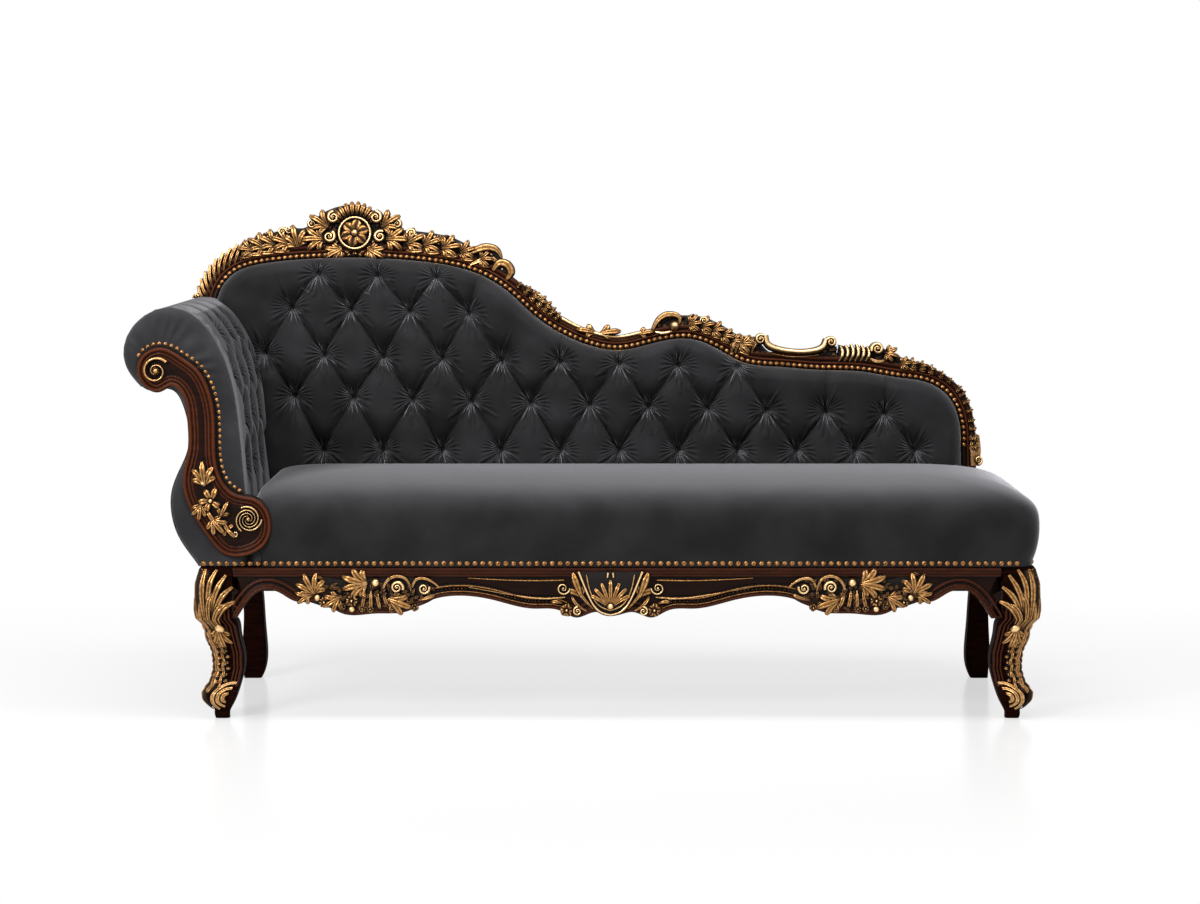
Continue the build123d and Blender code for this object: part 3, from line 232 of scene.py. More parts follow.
def inside_of(points, outline):
    """Which points lie inside a closed outline."""
    hit = np.zeros(len(points), bool)
    after = np.roll(outline, -1, axis=0)
    for (x0, z0), (x1, z1) in zip(outline, after):
        if z0 == z1:
            continue
        crosses = (z0 > points[:, 1]) != (z1 > points[:, 1])
        hit ^= crosses & (points[:, 0] < (x1 - x0) * (points[:, 1] - z0) / (z1 - z0) + x0)
    return hit


# Materials
FOLDS_ROUND_BUTTON, FOLD_SWAYS, FOLD_SWAY = 23, 3.0, 2.2
FOLD_DEPTH, PILE_SHARE = 0.0036, 0.08
HOLLOW_SAMPLES = 6
WOOD_STRETCH = (0.16, 1.0, 1.0)
WOOD_MIDDLE = 0.16


def feed(tree, node, inputs):
    """Set or link inputs of a node, given by name or number as a value or as another node's output."""
    for socket, value in inputs.items():
        if isinstance(value, bpy.types.NodeSocket):
            tree.links.new(value, node.inputs[socket])
        else:
            node.inputs[socket].default_value = value


def add_node(tree, kind, inputs=None, **options):
    """A new shader node with its options and inputs."""
    node = tree.nodes.new("ShaderNode" + kind)
    for option, value in options.items():
        setattr(node, option, value)
    feed(tree, node, inputs or {})
    return node


def node_material(name):
    """A new material, its nodes and its main shader."""
    material = bpy.data.materials.new(name)
    material.use_nodes = True
    return material, material.node_tree, material.node_tree.nodes["Principled BSDF"]


def object_place(tree):
    """Places on the object."""
    return add_node(tree, "TexCoord").outputs["Object"]


def noise(tree, scale, detail, place):
    """A noise texture."""
    return add_node(tree, "TexNoise", {"Scale": scale, "Detail": detail, "Vector": place}).outputs["Fac"]


def ramp(tree, factor, stops):
    """A colour ramp with the given stops; a single number stands for a grey."""
    node = add_node(tree, "ValToRGB", {"Fac": factor})
    elements = node.color_ramp.elements
    while len(elements) < len(stops):
        elements.new(0.5)
    for element, (place, colour) in zip(elements, stops):
        element.position = place
        element.color = (*np.broadcast_to(colour, 3), 1)
    return node.outputs["Color"]


def bump(tree, shader, height, strength, distance):
    """A fine surface unevenness."""
    node = add_node(tree, "Bump", {"Strength": strength, "Distance": distance, "Height": height})
    feed(tree, shader, {"Normal": node.outputs["Normal"]})


def attribute(tree, name, output="Fac"):
    """The value stored with each vertex under a name."""
    return add_node(tree, "Attribute", attribute_name=name).outputs[output]


def math_node(tree, operation, first, second=0.0):
    """Two values joined by one operation."""
    return add_node(tree, "Math", {0: first, 1: second}, operation=operation).outputs["Value"]


def openness(tree, distance, stops):
    """How open the surface is: dark in hollows of a given size."""
    hollow = add_node(tree, "AmbientOcclusion", {"Distance": distance}, samples=HOLLOW_SAMPLES)
    return ramp(tree, hollow.outputs["AO"], stops)


def velvet_material(name, dark, light, sheen):
    """Short pile: clouded, with painted shade in the deep folds, creases and button hollows, paler at a
    slant, with fine folds at the buttons.
    """
    material, tree, shader = node_material(name)
    calc = functools.partial(math_node, tree)
    surface = object_place(tree)
    cloud = ramp(tree, noise(tree, 9.0, 6.0, surface), [(0.35, dark), (0.68, light)])
    # Base colour times ambient occlusion: painted shade that darkens the creases and button hollows
    shades = {"Factor": 1.0, "A": cloud, "B": openness(tree, 0.035, [(0.34, 0.04), (0.88, 1)])}
    shade = add_node(tree, "Mix", data_type="RGBA", blend_type="MULTIPLY")
    feed(tree, shade, shades)
    feed(tree, shader, {
        "Base Color": shade.outputs["Result"],
        "Roughness": 0.7,
        "Specular IOR Level": 0.12,
        "Sheen Weight": sheen,
        "Sheen Roughness": 0.4,
        "Sheen Tint": (0.78, 0.77, 0.82, 1),
    })
    place = add_node(tree, "SeparateXYZ", {"Vector": attribute(tree, "fold_place", "Vector")}).outputs
    turn = calc("ARCTAN2", place["Y"], place["X"])
    sway = calc("SINE", calc("ADD", calc("MULTIPLY", turn, FOLD_SWAYS), place["Z"]))
    wave = calc("ADD", calc("MULTIPLY", turn, FOLDS_ROUND_BUTTON), calc("MULTIPLY", sway, FOLD_SWAY))
    fold = calc("MULTIPLY", calc("SINE", wave), attribute(tree, "fold"))
    pile = calc("MULTIPLY", noise(tree, 700.0, 3.0, surface), PILE_SHARE)
    bump(tree, shader, calc("ADD", fold, pile), 1.0, FOLD_DEPTH)
    return material


def gilt_material():
    """Worn gold over black: bright on what stands out, dark in the hollows."""
    material, tree, shader = node_material("gilt")
    calc = functools.partial(math_node, tree)
    grain = noise(tree, 160.0, 4.0, object_place(tree))
    worn = calc("SUBTRACT", calc("MULTIPLY", grain, 0.4), 0.2)
    amount = calc("ADD", attribute(tree, "gilt"), worn)
    amount = calc("MULTIPLY", amount, openness(tree, 0.014, [(0.34, 0.08), (0.84, 1)]))
    colours = [
        (0.34, (0.004, 0.002, 0.0015)),
        (0.54, (0.05, 0.019, 0.006)),
        (0.74, (0.4, 0.19, 0.055)),
        (1.0, (1.0, 0.7, 0.35)),
    ]
    feed(tree, shader, {
        "Base Color": ramp(tree, amount, colours),
        "Metallic": ramp(tree, amount, [(0.35, 0), (0.6, 0.85)]),
        "Roughness": ramp(tree, amount, [(0.3, 0.75), (0.7, 0.26)]),
        "Specular IOR Level": 0.25,
    })
    bump(tree, shader, grain, 0.3, 0.0008)
    return material


def wood_material(name, dark, light, gloss, roughness):
    """Polished wood with fine streaks; the edge value lightens the ridges of the mouldings as a painted
    highlight.
    """
    material, tree, shader = node_material(name)
    stretch = add_node(tree, "Mapping", {"Scale": WOOD_STRETCH, "Vector": object_place(tree)})
    streak = noise(tree, 150.0, 5.0, stretch.outputs["Vector"])
    # Streaks plus the edge value, which is painted highlight on the ridges
    amount = math_node(tree, "ADD", math_node(tree, "MULTIPLY", streak, 0.3), attribute(tree, "edge"))
    middle = tuple(low + (high - low) * WOOD_MIDDLE for low, high in zip(dark, light))
    colour = ramp(tree, amount, [(0.1, dark), (0.45, middle), (1.0, light)])
    feed(tree, shader, {"Base Color": colour, "Roughness": roughness, "Specular IOR Level": gloss})
    bump(tree, shader, streak, 0.15, 0.0006)
    return material


def mottled_material(name, scale, dark, light, roughness, metallic):
    """A plain finish with a fine mottle."""
    material, tree, shader = node_material(name)
    speckle = noise(tree, scale, 3.0, object_place(tree))
    colour = ramp(tree, speckle, [(0.35, dark), (0.65, light)])
    feed(tree, shader, {"Base Color": colour, "Roughness": roughness, "Metallic": metallic})
    bump(tree, shader, speckle, 0.2, 0.0005)
    return material


# One grey velvet in several copies. The arm copy has a lighter base colour: painted sheen on the roll,
# border and outside of the arm. The inside-arm copy is a shaded copy with weaker sheen for the buttoned
# inside of the arm.
VELVET_SEAT = velvet_material("seat_velvet", (0.005, 0.005, 0.0055), (0.015, 0.015, 0.016), 1.0)
VELVET_BACK = velvet_material("back_velvet", (0.005, 0.005, 0.0055), (0.017, 0.017, 0.0185), 0.36)
VELVET_INSIDE_SHADED = velvet_material("inside_arm_velvet", (0.005, 0.005, 0.0055), (0.016, 0.016, 0.0173), 0.24)
VELVET_ARM_PAINTED_SHEEN = velvet_material("arm_velvet", (0.018, 0.018, 0.0194), (0.038, 0.038, 0.041), 0.42)
GILT = gilt_material()
WOOD = wood_material("mahogany", (0.002, 0.001, 0.0008), (0.125, 0.03, 0.0095), 0.08, 0.36)
PLAIN_WOOD = wood_material("plain_mahogany", (0.004, 0.0014, 0.001), (0.24, 0.04, 0.012), 0.012, 0.6)
FRAME_WOOD = wood_material("frame_wood", (0.2, 0.11, 0.05), (0.4, 0.25, 0.13), 0.08, 0.36)
NAIL = mottled_material("nail", 260.0, (0.12, 0.043, 0.012), (0.48, 0.23, 0.075), 0.34, 0.85)
DUST = mottled_material("dust_cloth", 500.0, (0.008, 0.008, 0.009), (0.017, 0.017, 0.018), 0.95, 0.0)
STEEL = mottled_material("steel", 200.0, (0.3, 0.3, 0.3), (0.5, 0.5, 0.5), 0.4, 1.0)
HESSIAN = mottled_material("hessian", 600.0, (0.2, 0.13, 0.06), (0.4, 0.28, 0.15), 0.9, 0.0)


# Meshes
class Heap:
    """Vertices and faces gathered from several pieces of one mesh, with one value per vertex."""

    def __init__(self):
        self.points = []
        self.faces = []
        self.values = []
        self.count = 0

    def add(self, points, faces, values):
        """Add one piece in working places."""
        self.points.append(np.asarray(points, float))
        self.faces.append(np.asarray(faces, int) + self.count)
        self.values.append(np.broadcast_to(np.asarray(values, float), len(points)))
        self.count += len(points)

    def build(self, name, material, slot, nodes, value_name="gilt"):
        """Make the visible piece, which rides on the root and stands in for the named nodes."""
        mesh = bpy.data.meshes.new(name)
        mesh.from_pydata(put(np.concatenate(self.points)), [], np.concatenate(self.faces))
        layer = mesh.attributes.new(value_name, "FLOAT", "POINT")
        layer.data.foreach_set("value", np.concatenate(self.values))
        mesh.polygons.foreach_set("use_smooth", np.ones(len(mesh.polygons), bool))
        mesh.materials.append(material)
        mesh.update()
        piece = bpy.data.objects.new(name, mesh)
        scene.collection.objects.link(piece)
        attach(piece, "root")
        if nodes:
            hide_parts(*nodes)
        return piece


def grid_faces(rows, columns, closed=False, flip=False):
    """Quads of a grid of points, row by row; flip turns them to face the other way."""
    i = np.arange(rows - 1)[:, None]
    j = np.arange(columns if closed else columns - 1)[None, :]
    k = (j + 1) % columns
    corners = [i * columns + j, i * columns + k, (i + 1) * columns + k, (i + 1) * columns + j]
    faces = np.stack(corners, axis=2).reshape(-1, 4)
    return faces[:, ::-1] if flip else faces


# Carved motifs, all drawn flat as along, up and out. Widths and heights run along the motif.
GROOVE_WIDTH = 0.3
RIDGE_FOOT, KNOB_FOOT = 0.06, 0.25
CURL_WIDTHS = np.array([0.45, 0.7, 0.95, 1.1, 1.15, 1.0, 0.4])
CURL_HEIGHTS = np.array([0.4, 0.7, 0.95, 1.1, 1.1, 0.9, 0.15])
CURL_STEPS = 13
PETAL_WIDTHS = np.array([0.4, 0.9, 1.0, 0.35])
PETAL_HEIGHTS = np.array([0.7, 1.0, 0.9, 0.35])
EYE_HEIGHT = 1.35
VOLUTE_POINTS, VOLUTE_CLOSING, VOLUTE_EYE = 26, 0.78, 0.24
PLUME_HALF, PLUME_BEND, PLUME_OVERLAP = 0.145, 75, 3
PETAL_START, PETAL_POINTS, PETAL_FULLNESS, FLOWER_EYE = 0.2, 8, 0.95, 0.3


class Carving:
    """A group of carved blades, scrolls and knobs on one surface, raised off it by a common lift."""

    def __init__(self, place, lift=0.0, mirrored=False, heap=None):
        self.heap = heap or Heap()
        self.place = place
        self.lift = lift
        self.mirrored = mirrored

    def add(self, flat, out, faces, value):
        """Add one motif with its flat places and its heights off the surface."""
        points = with_column(flat.reshape(-1, 2), self.lift + out.ravel())
        self.heap.add(self.place(points), faces, value)

    def blade(self, line, widths, heights, groove=0.0, lift=0.0, bright=1.0, across=9):
        """A rounded ridge along a flat line, with a hollow down its middle."""
        line = np.asarray(line, float)
        count = len(line)
        side = np.linspace(-1, 1, across)
        shape = np.sqrt(unit(1 - side ** 2)) * (1 - groove * bell(side / GROOVE_WIDTH))
        width = spread_along(widths, count)[:, None] * side
        flat = line[:, None, :] + normals_of(line)[:, None, :] * width[:, :, None]
        out = lift + spread_along(heights, count)[:, None] * shape
        value = bright * (RIDGE_FOOT + (1 - RIDGE_FOOT) * np.tile(shape, count) ** 1.6)
        self.add(flat, out, grid_faces(count, across, flip=not self.mirrored), value)

    def knob(self, centre, radius, height, lift=0.0, bright=1.0, around=14, rings=5):
        """A round boss."""
        angle = np.linspace(0, 2 * math.pi, around, endpoint=False)
        rise = np.linspace(0, math.pi / 2, rings)
        flat = np.asarray(centre, float) + radius * np.cos(rise)[:, None, None] * ways(angle)
        out = np.repeat(lift + height * np.sin(rise), around)
        value = np.repeat(bright * (KNOB_FOOT + (1 - KNOB_FOOT) * np.sin(rise)), around)
        self.add(flat, out, grid_faces(rings, around, True, self.mirrored), value)

    def volute(self, centre, radius, start, turns, height, sign=1, width=0.34, lift=0.0, bright=1.0):
        """A spiral scroll that winds in to an eye."""
        turn = np.linspace(0, 1, int(VOLUTE_POINTS * turns) + 4)
        angle = math.radians(start) + sign * turn * turns * 2 * math.pi
        reach = radius * (1 - width) * (1 - VOLUTE_CLOSING * turn ** 0.9)
        line = np.asarray(centre, float) + reach[:, None] * ways(angle)
        half = radius * width
        self.blade(line, [half, half * 0.45], [height, height * 1.15], 0.0, lift, bright)
        self.knob(centre, radius * VOLUTE_EYE, height * EYE_HEIGHT, lift, bright)

    def curl(self, root, angle, length, half, bend, height, lift=0.0, bright=1.0):
        """One plump curled lobe, narrow at its root and rolled at its tip."""
        steps = np.linspace(0, 1, CURL_STEPS)
        turn = math.radians(angle) + math.radians(bend) * steps ** 1.5
        walk = ways(turn) * (length / (CURL_STEPS - 1))
        line = np.asarray(root, float) + np.concatenate([[[0, 0]], np.cumsum(walk[:-1], axis=0)])
        self.blade(line, half * CURL_WIDTHS, height * CURL_HEIGHTS, 0.3, lift, bright)

    def plume(self, root, angle, length, spread, lobes, height, lift=0.0):
        """A leaf of curled lobes that fan out from one root."""
        half = length * PLUME_HALF
        for share in np.linspace(-1, 1, lobes):
            middle = 1 - abs(share)
            reach = length * (1 - 0.4 * abs(share) ** 1.5)
            rise = height * (0.8 + 0.3 * middle)
            raised = lift + PLUME_OVERLAP * middle
            self.curl(root, angle + share * spread, reach, half, share * PLUME_BEND, rise, raised)

    def rosette(self, centre, radius, petals, height, turn=0.0, lift=0.0, bright=1.0):
        """A flower of round petals about a knob."""
        half = radius * math.sin(math.pi / petals) * PETAL_FULLNESS
        reach = np.linspace(PETAL_START, 1.0, PETAL_POINTS)[:, None] * radius
        for number in range(petals):
            angle = math.radians(turn) + 2 * math.pi * number / petals
            line = np.asarray(centre, float) + reach * ways(angle)
            self.blade(line, half * PETAL_WIDTHS, height * PETAL_HEIGHTS, 0.5, lift, bright)
        self.knob(centre, radius * FLOWER_EYE, height * EYE_HEIGHT, lift, bright)

    def scroll(self, points, widths, heights, groove=0.0, lift=0.0, bright=1.0, step=3.0):
        """A smooth stem through a few points."""
        self.blade(smooth_line(points, step), widths, heights, groove, lift, bright)

    def finish(self, name, *nodes):
        """Make the gilt piece."""
        self.heap.build(name, GILT, "gilt_carving", nodes)


WALL_SHADE = 0.6


def relief_plate(heap, outline, step, relief, place, depth):
    """A flat plate with a moulded front: relief gives the height and value from the edge distance."""
    low = outline.min(axis=0) - 2 * step
    high = outline.max(axis=0) + 2 * step
    xs = np.arange(low[0], high[0], step)
    zs = np.arange(low[1], high[1], step)
    mesh = np.stack(np.meshgrid(xs, zs), axis=2).reshape(-1, 2)
    inside = inside_of(mesh, outline)
    quads = grid_faces(len(zs), len(xs))
    quads = quads[inside[quads].sum(axis=1) >= 3]
    used, quads = np.unique(quads, return_inverse=True)
    quads = quads.reshape(-1, 4)
    points = mesh[used]
    edges = np.concatenate([quads[:, [side, (side + 1) % 4]] for side in range(4)])
    _, first, counts = np.unique(np.sort(edges, axis=1), axis=0, return_index=True, return_counts=True)
    border = edges[first[counts == 1]]
    rim = np.unique(border)
    distance, index = nearest(points, outline)
    points[rim] = outline[index[rim]]
    distance[rim] = 0
    height, value = relief(points, distance)
    heap.add(place(with_column(points, height)), quads, value)
    ends = np.searchsorted(rim, border)
    top = with_column(points[rim], height[rim])
    bottom = with_column(points[rim], -depth)
    wall = np.concatenate([ends[:, ::-1], ends + len(rim)], axis=1)
    heap.add(place(np.concatenate([top, bottom])), wall, np.tile(value[rim] * WALL_SHADE, 2))


def moulding(distance, beads):
    """Height and painted highlight of rounded beads, lightest on their crowns; each has a distance from the
    edge, a half width and a rise.
    """
    height = np.zeros_like(distance)
    bright = np.zeros_like(distance)
    for middle, half, rise in beads:
        shape = np.sqrt(unit(1 - ((distance - middle) / half) ** 2))
        height = np.maximum(height, rise * shape)
        bright = np.maximum(bright, shape)
    return height, bright


# Buttons and pleats
LINE_STEP = 3.0
back_line = smooth_line(BACK_EDGE, LINE_STEP)
back_normals = normals_of(back_line)
EDGE_LEFT, EDGE_RIGHT = -799.0, 817.0
BUTTON_PITCH, BUTTON_START = 127.5, -688.0
BUTTON_LEVELS = (190.0, 289.0, 380.0, 480.0, 555.0)
BUTTON_TILT, BUTTON_LEAN, BUTTON_LEANING_ROW = 0.03, 7.0, 2
BUTTON_COLUMNS = 13
BUTTON_LEFT, BUTTON_RIGHT = -695.0, 770.0
BUTTON_MARGIN, BUTTON_TOP_MARGIN = 16.0, 14.0
CREASE_REACH, CREASE_LIMIT = 24.0, 96.0
CREASE_POWER, CREASE_WIDTH = 5.0, 0.8
PILLOW_POWER, FUNNEL_POWER = 2.4, 1.2
FOLD_ANGLES = np.radians([-141, -127, -114, -102, -90, -78, -66, -53, -39, 62, 118])
FOLD_TURN, FOLD_SHORTEST, FOLD_LONGEST = 0.12, 24, 60
RIDGE_HALF, VALLEY_PLACE, VALLEY_HALF, VALLEY_SHARE = 2.6, 4.6, 2.4, 0.7
CLOTH_WAVE = 1.2
FOLD_REACH_ABOVE, FOLD_REACH_BELOW = 36.0, 54.0
BUTTON_HALF, FOLD_START, FOLD_STRENGTH = 4.0, 9.0, 1.2


def edge_at(x):
    """Height of the nailed edge at a place along X."""
    top = back_line[(back_line[:, 0] > EDGE_LEFT) & (back_line[:, 0] < EDGE_RIGHT)]
    return np.interp(x, top[:, 0], top[:, 1])


def arm_side(height):
    """X of the inside of the arm at a height above the floor."""
    side = np.asarray(ARM_PROFILE[ARM_CROWN:], float)[::-1]
    return np.interp(height, side[:, 1], side[:, 0])


def buttons_of_back():
    """Row, column, place along X and height up the back of each button."""
    buttons = []
    for row, level in enumerate(BUTTON_LEVELS):
        for column in range(BUTTON_COLUMNS):
            x = BUTTON_START + column * BUTTON_PITCH + (row % 2) * BUTTON_PITCH / 2
            x -= BUTTON_LEAN * max(row - BUTTON_LEANING_ROW, 0)
            up = level - BUTTON_TILT * x if row else level
            least = max(arm_side(RAIL_TOP + up * math.cos(RECLINE)) + BUTTON_MARGIN, BUTTON_LEFT)
            if least < x < BUTTON_RIGHT and up < edge_at(x) - BUTTON_TOP_MARGIN:
                buttons.append((row, column, x, up))
    return buttons


def creases_of(buttons, top, bottom):
    """Lines of the pleats: button to button, and on to the upper and lower edges."""
    found = {(row, column): (x, up) for row, column, x, up in buttons}
    lines = []
    for row, column, x, up in buttons:
        steps = (row % 2 - 1, row % 2)
        above = [found.get((row + 1, column + step)) for step in steps]
        below = [found.get((row - 1, column + step)) for step in steps]
        lines += [((x, up), other) for other in above if other]
        if not any(above):
            lines.append(((x, up), (x, top(x))))
        if not any(below):
            lines.append(((x, up), (x, bottom)))
        for side, other in zip((-1, 1), above):
            far = x + side * CREASE_REACH
            if any(above) and any(below) and not other and up + CREASE_LIMIT > top(far):
                lines.append(((x, up), (far, top(far))))
    return lines


def segment_distance(points, start, end):
    """Distance to one straight run."""
    start, end = np.asarray(start, float), np.asarray(end, float)
    run = end - start
    part = unit(((points - start) @ run) / (run @ run))
    away = points - start - part[:, None] * run
    return np.sqrt((away ** 2).sum(axis=1))


def from_button(points, buttons):
    """Distance and place from the nearest button, and which one it is."""
    centres = np.array([(x, up) for row, column, x, up in buttons])
    away, index = nearest(points, centres)
    return away, points - centres[index], index


def tufting(points, buttons, lines, pillow, funnel, reach, spread, wrinkle):
    """Height of a buttoned pad: pillows between pleats, funnels at buttons, fans of small folds."""
    soft = sum((segment_distance(points, *line) + CREASE_WIDTH) ** -CREASE_POWER for line in lines)
    rise = unit(soft ** (-1 / CREASE_POWER) / reach)
    height = pillow * np.sqrt(1 - (1 - rise) ** PILLOW_POWER)
    away, local, index = from_button(points, buttons)
    height += funnel * (1 - np.exp(-((away / spread) ** FUNNEL_POWER)))
    angle = np.arctan2(local[:, 1], local[:, 0])
    folds = (len(buttons), len(FOLD_ANGLES))
    turn = FOLD_ANGLES + random.uniform(-FOLD_TURN, FOLD_TURN, folds)
    reaches = random.uniform(FOLD_SHORTEST, FOLD_LONGEST, folds)
    for number in range(len(FOLD_ANGLES)):
        off = (angle - turn[index, number] + math.pi) % (2 * math.pi) - math.pi
        sideways = away * np.sin(off)
        length = reaches[index, number]
        envelope = bell((away - length * 0.7) / (length * 0.55)) * (np.cos(off) > 0)
        ridge = bell(sideways / RIDGE_HALF) - VALLEY_SHARE * bell((sideways - VALLEY_PLACE) / VALLEY_HALF)
        height += wrinkle * ridge * envelope
    x, up = points.T
    height += CLOTH_WAVE * np.sin(x * 0.061 + up * 0.043) * np.sin(up * 0.052 - x * 0.027)
    return height


def button_folds(points, buttons):
    """How strong the fine folds are at each point, and its place from the nearest button."""
    away, local, index = from_button(points, buttons)
    below = 0.5 - 0.5 * local[:, 1] / (away + 1e-6)
    reach = FOLD_REACH_ABOVE + (FOLD_REACH_BELOW - FOLD_REACH_ABOVE) * below
    fade = FOLD_STRENGTH * unit(1 - away / reach)
    strength = unit((away - BUTTON_HALF) / FOLD_START) * fade * (0.5 + 0.5 * below)
    phase = random.uniform(0, 2 * math.pi, len(buttons))
    return strength, with_column(local, phase[index])


def store_folds(piece, place):
    """Keep the places from the buttons with the vertices, for the velvet's fine folds."""
    mesh = piece.data
    layer = mesh.attributes.new("fold_place", "FLOAT_VECTOR", "POINT")
    values = np.zeros((len(mesh.vertices), 3))
    values[:len(place)] = place
    layer.data.foreach_set("vector", values.ravel())


# Buttoned back
back_buttons = buttons_of_back()
PAD_STEP, PAD_BOTTOM_POINTS = 2.6, 500
PAD_LEFT, PAD_RIGHT, PAD_FOOT = -797.0, 815.0, 2.0
# Levels between which the hidden part of the pad draws in behind the arm, and its left edge there
PAD_HIDDEN_LEVELS, PAD_LEFT_EDGES = (385.0, 430.0), (-768.0, PAD_LEFT)
PAD_ROLL, PAD_EDGE, PAD_RISE = 34.0, 15.0, 6.0
PLEAT_OVERRUN, PLEAT_FOOT = 6.0, 60.0
# Rise of the pillows, depth of the funnels, half width of a pillow, width of a funnel, height of a fold
BACK_TUFTS = (22.0, 27.0, 46.0, 22.0, 3.6)


def back_pad():
    """The buttoned velvet of the back."""
    bottom = level_line(PAD_RIGHT, PAD_LEFT, PAD_FOOT, PAD_BOTTOM_POINTS)
    outline = np.concatenate([back_line, bottom])
    behind_arm = np.interp(outline[:, 1], PAD_HIDDEN_LEVELS, PAD_LEFT_EDGES)
    outline[:, 0] = np.maximum(outline[:, 0], behind_arm)
    lines = creases_of(back_buttons, lambda x: edge_at(x) + PLEAT_OVERRUN, PLEAT_FOOT)
    heap = Heap()
    places = []

    def relief(points, distance):
        swell = dome(nearest(points, back_line)[0] / PAD_ROLL)
        tuft = tufting(points, back_buttons, lines, *BACK_TUFTS)
        strength, place = button_folds(points, back_buttons)
        places.append(place)
        return PAD_EDGE + swell * (PAD_RISE + tuft), strength * swell

    relief_plate(heap, outline, PAD_STEP, relief, on_back, 0.0)
    piece = heap.build("buttoned_back", VELVET_BACK, "velvet", ["back_cover", "back_buttons"], "fold")
    store_folds(piece, places[0])


back_pad()

# Arm
ARM_START, ARM_END, ARM_STEP = 2.0, 640.0, 3.5
ARM_BUTTON_ROWS, ARM_BUTTON_COLUMNS = 4, 4
ARM_BUTTON_START, ARM_BUTTON_PITCH = 110.0, 132
ARM_BUTTON_LEVEL, ARM_BUTTON_RISE = 205.0, 92
ARM_PLEAT_TOP, ARM_PLEAT_FOOT = 640.0, 90.0
ARM_TUFTS = (13.0, 15.0, 50.0, 30.0, 2.4)
# The buttoned inside lies this deep in the roll, and its pillows rise up to the limit
ARM_SUNK, ARM_TUFT_LIMIT, INSIDE_SHARE = 24, 26, 0.8
# The inside begins behind the front edge and ends below the roll, each over a blend
INSIDE_START, INSIDE_START_BLEND, INSIDE_END, INSIDE_END_BLEND = 38, 26, 600, 90
ARM_FRONT_ROLL, FRONT_ROLL_END, FRONT_ROLL_LENGTH, FRONT_ROLL_SHARE = 12, 24, 22, 0.98
# Gathers behind the border: rise, place from the front, half width, where they start on the profile
ARM_GATHER, ARM_GATHER_PLACE, ARM_GATHER_HALF = 1.4, 30, 26
ARM_GATHER_START, ARM_GATHER_BLEND = 380, 80
BORDER_STEP, BORDER_FRONT, BORDER_DEPTH = 3.0, 8.0, 6.0
BORDER_SWELL, BORDER_ROLL = 15, 24
BORDER_END = [[-640, 440], [-640, 311]]
GATHER, GATHER_RADIUS, GATHER_HALF, GATHER_FOOT = 1.8, 92, 20, 600


def arm_body():
    """Rolled arm with its buttoned inside, as profile lines from front to back."""
    profile = smooth_line(ARM_PROFILE[::-1], LINE_STEP)
    run = run_of(profile)
    depth = np.arange(ARM_START, ARM_END, ARM_STEP)
    rows, columns = len(depth), len(run)
    along, across = (grid.ravel() for grid in np.meshgrid(depth, run, indexing="ij"))
    flat = np.stack([along, across], axis=1)
    buttons = []
    for row in range(ARM_BUTTON_ROWS):
        for column in range(ARM_BUTTON_COLUMNS - row % 2):
            place = ARM_BUTTON_START + (column + (row % 2) / 2) * ARM_BUTTON_PITCH
            buttons.append((row, column, place, ARM_BUTTON_LEVEL + row * ARM_BUTTON_RISE))
    lines = creases_of(buttons, lambda x: ARM_PLEAT_TOP, ARM_PLEAT_FOOT)
    tuft = tufting(flat, buttons, lines, *ARM_TUFTS)
    zone = unit((along - INSIDE_START) / INSIDE_START_BLEND)
    zone = zone * unit((INSIDE_END - across) / INSIDE_END_BLEND)
    height = zone * (np.clip(tuft, 0, ARM_TUFT_LIMIT) - ARM_SUNK)
    front = unit((FRONT_ROLL_END - along) / FRONT_ROLL_LENGTH)
    height -= ARM_FRONT_ROLL * (1 - np.sqrt(1 - front ** 2 * FRONT_ROLL_SHARE))
    folds = bell((along - ARM_GATHER_PLACE) / ARM_GATHER_HALF)
    folds = folds * unit((across - ARM_GATHER_START) / ARM_GATHER_BLEND)
    height += ARM_GATHER * np.sin(across * 0.21 + 1.3 * np.sin(across * 0.05)) * folds
    side = np.tile(profile, (rows, 1)) - np.tile(normals_of(profile), (rows, 1)) * height[:, None]
    points = np.stack([side[:, 0], np.minimum(along, back_front(side[:, 1])), side[:, 1]], axis=1)
    faces = grid_faces(rows, columns, flip=True)
    heap = Heap()
    strength, place = button_folds(flat, buttons)
    heap.add(points, faces, strength * zone)
    piece = heap.build("rolled_arm", VELVET_ARM_PAINTED_SHEEN, "velvet", ["inside_arm_cover", "arm_buttons"], "fold")
    store_folds(piece, place)
    # Lit and shaded copies of one velvet: the roll keeps the copy with painted sheen, and the buttoned
    # inside takes the shaded copy
    piece.data.materials.append(VELVET_INSIDE_SHADED)
    inside = zone[faces].mean(axis=1) > INSIDE_SHARE
    piece.data.polygons.foreach_set("material_index", inside.astype(np.int32))


def arm_border():
    """Smooth velvet border round the carved facing."""
    outside = smooth_line(ARM_OUTSIDE[::-1], 4.0)
    outline = np.concatenate([smooth_line(ARM_PROFILE, 4.0), BORDER_END, outside])
    heap = Heap()

    def relief(points, distance):
        across, up = (points - SCROLL_CENTRE).T
        angle = np.arctan2(up, across)
        gather = np.sin(angle * 23 + 2 * np.sin(angle * 5))
        gather = gather * bell((np.hypot(up, across) - GATHER_RADIUS) / GATHER_HALF)
        swell = BORDER_SWELL * dome(distance / BORDER_ROLL)
        return swell + GATHER * gather * (points[:, 1] > GATHER_FOOT), np.zeros(len(points))

    relief_plate(heap, outline, BORDER_STEP, relief, on_front(BORDER_FRONT), BORDER_DEPTH)
    piece = heap.build("velvet_arm_border", VELVET_ARM_PAINTED_SHEEN, "velvet", ["arm_border"], "fold")


arm_body()
arm_border()

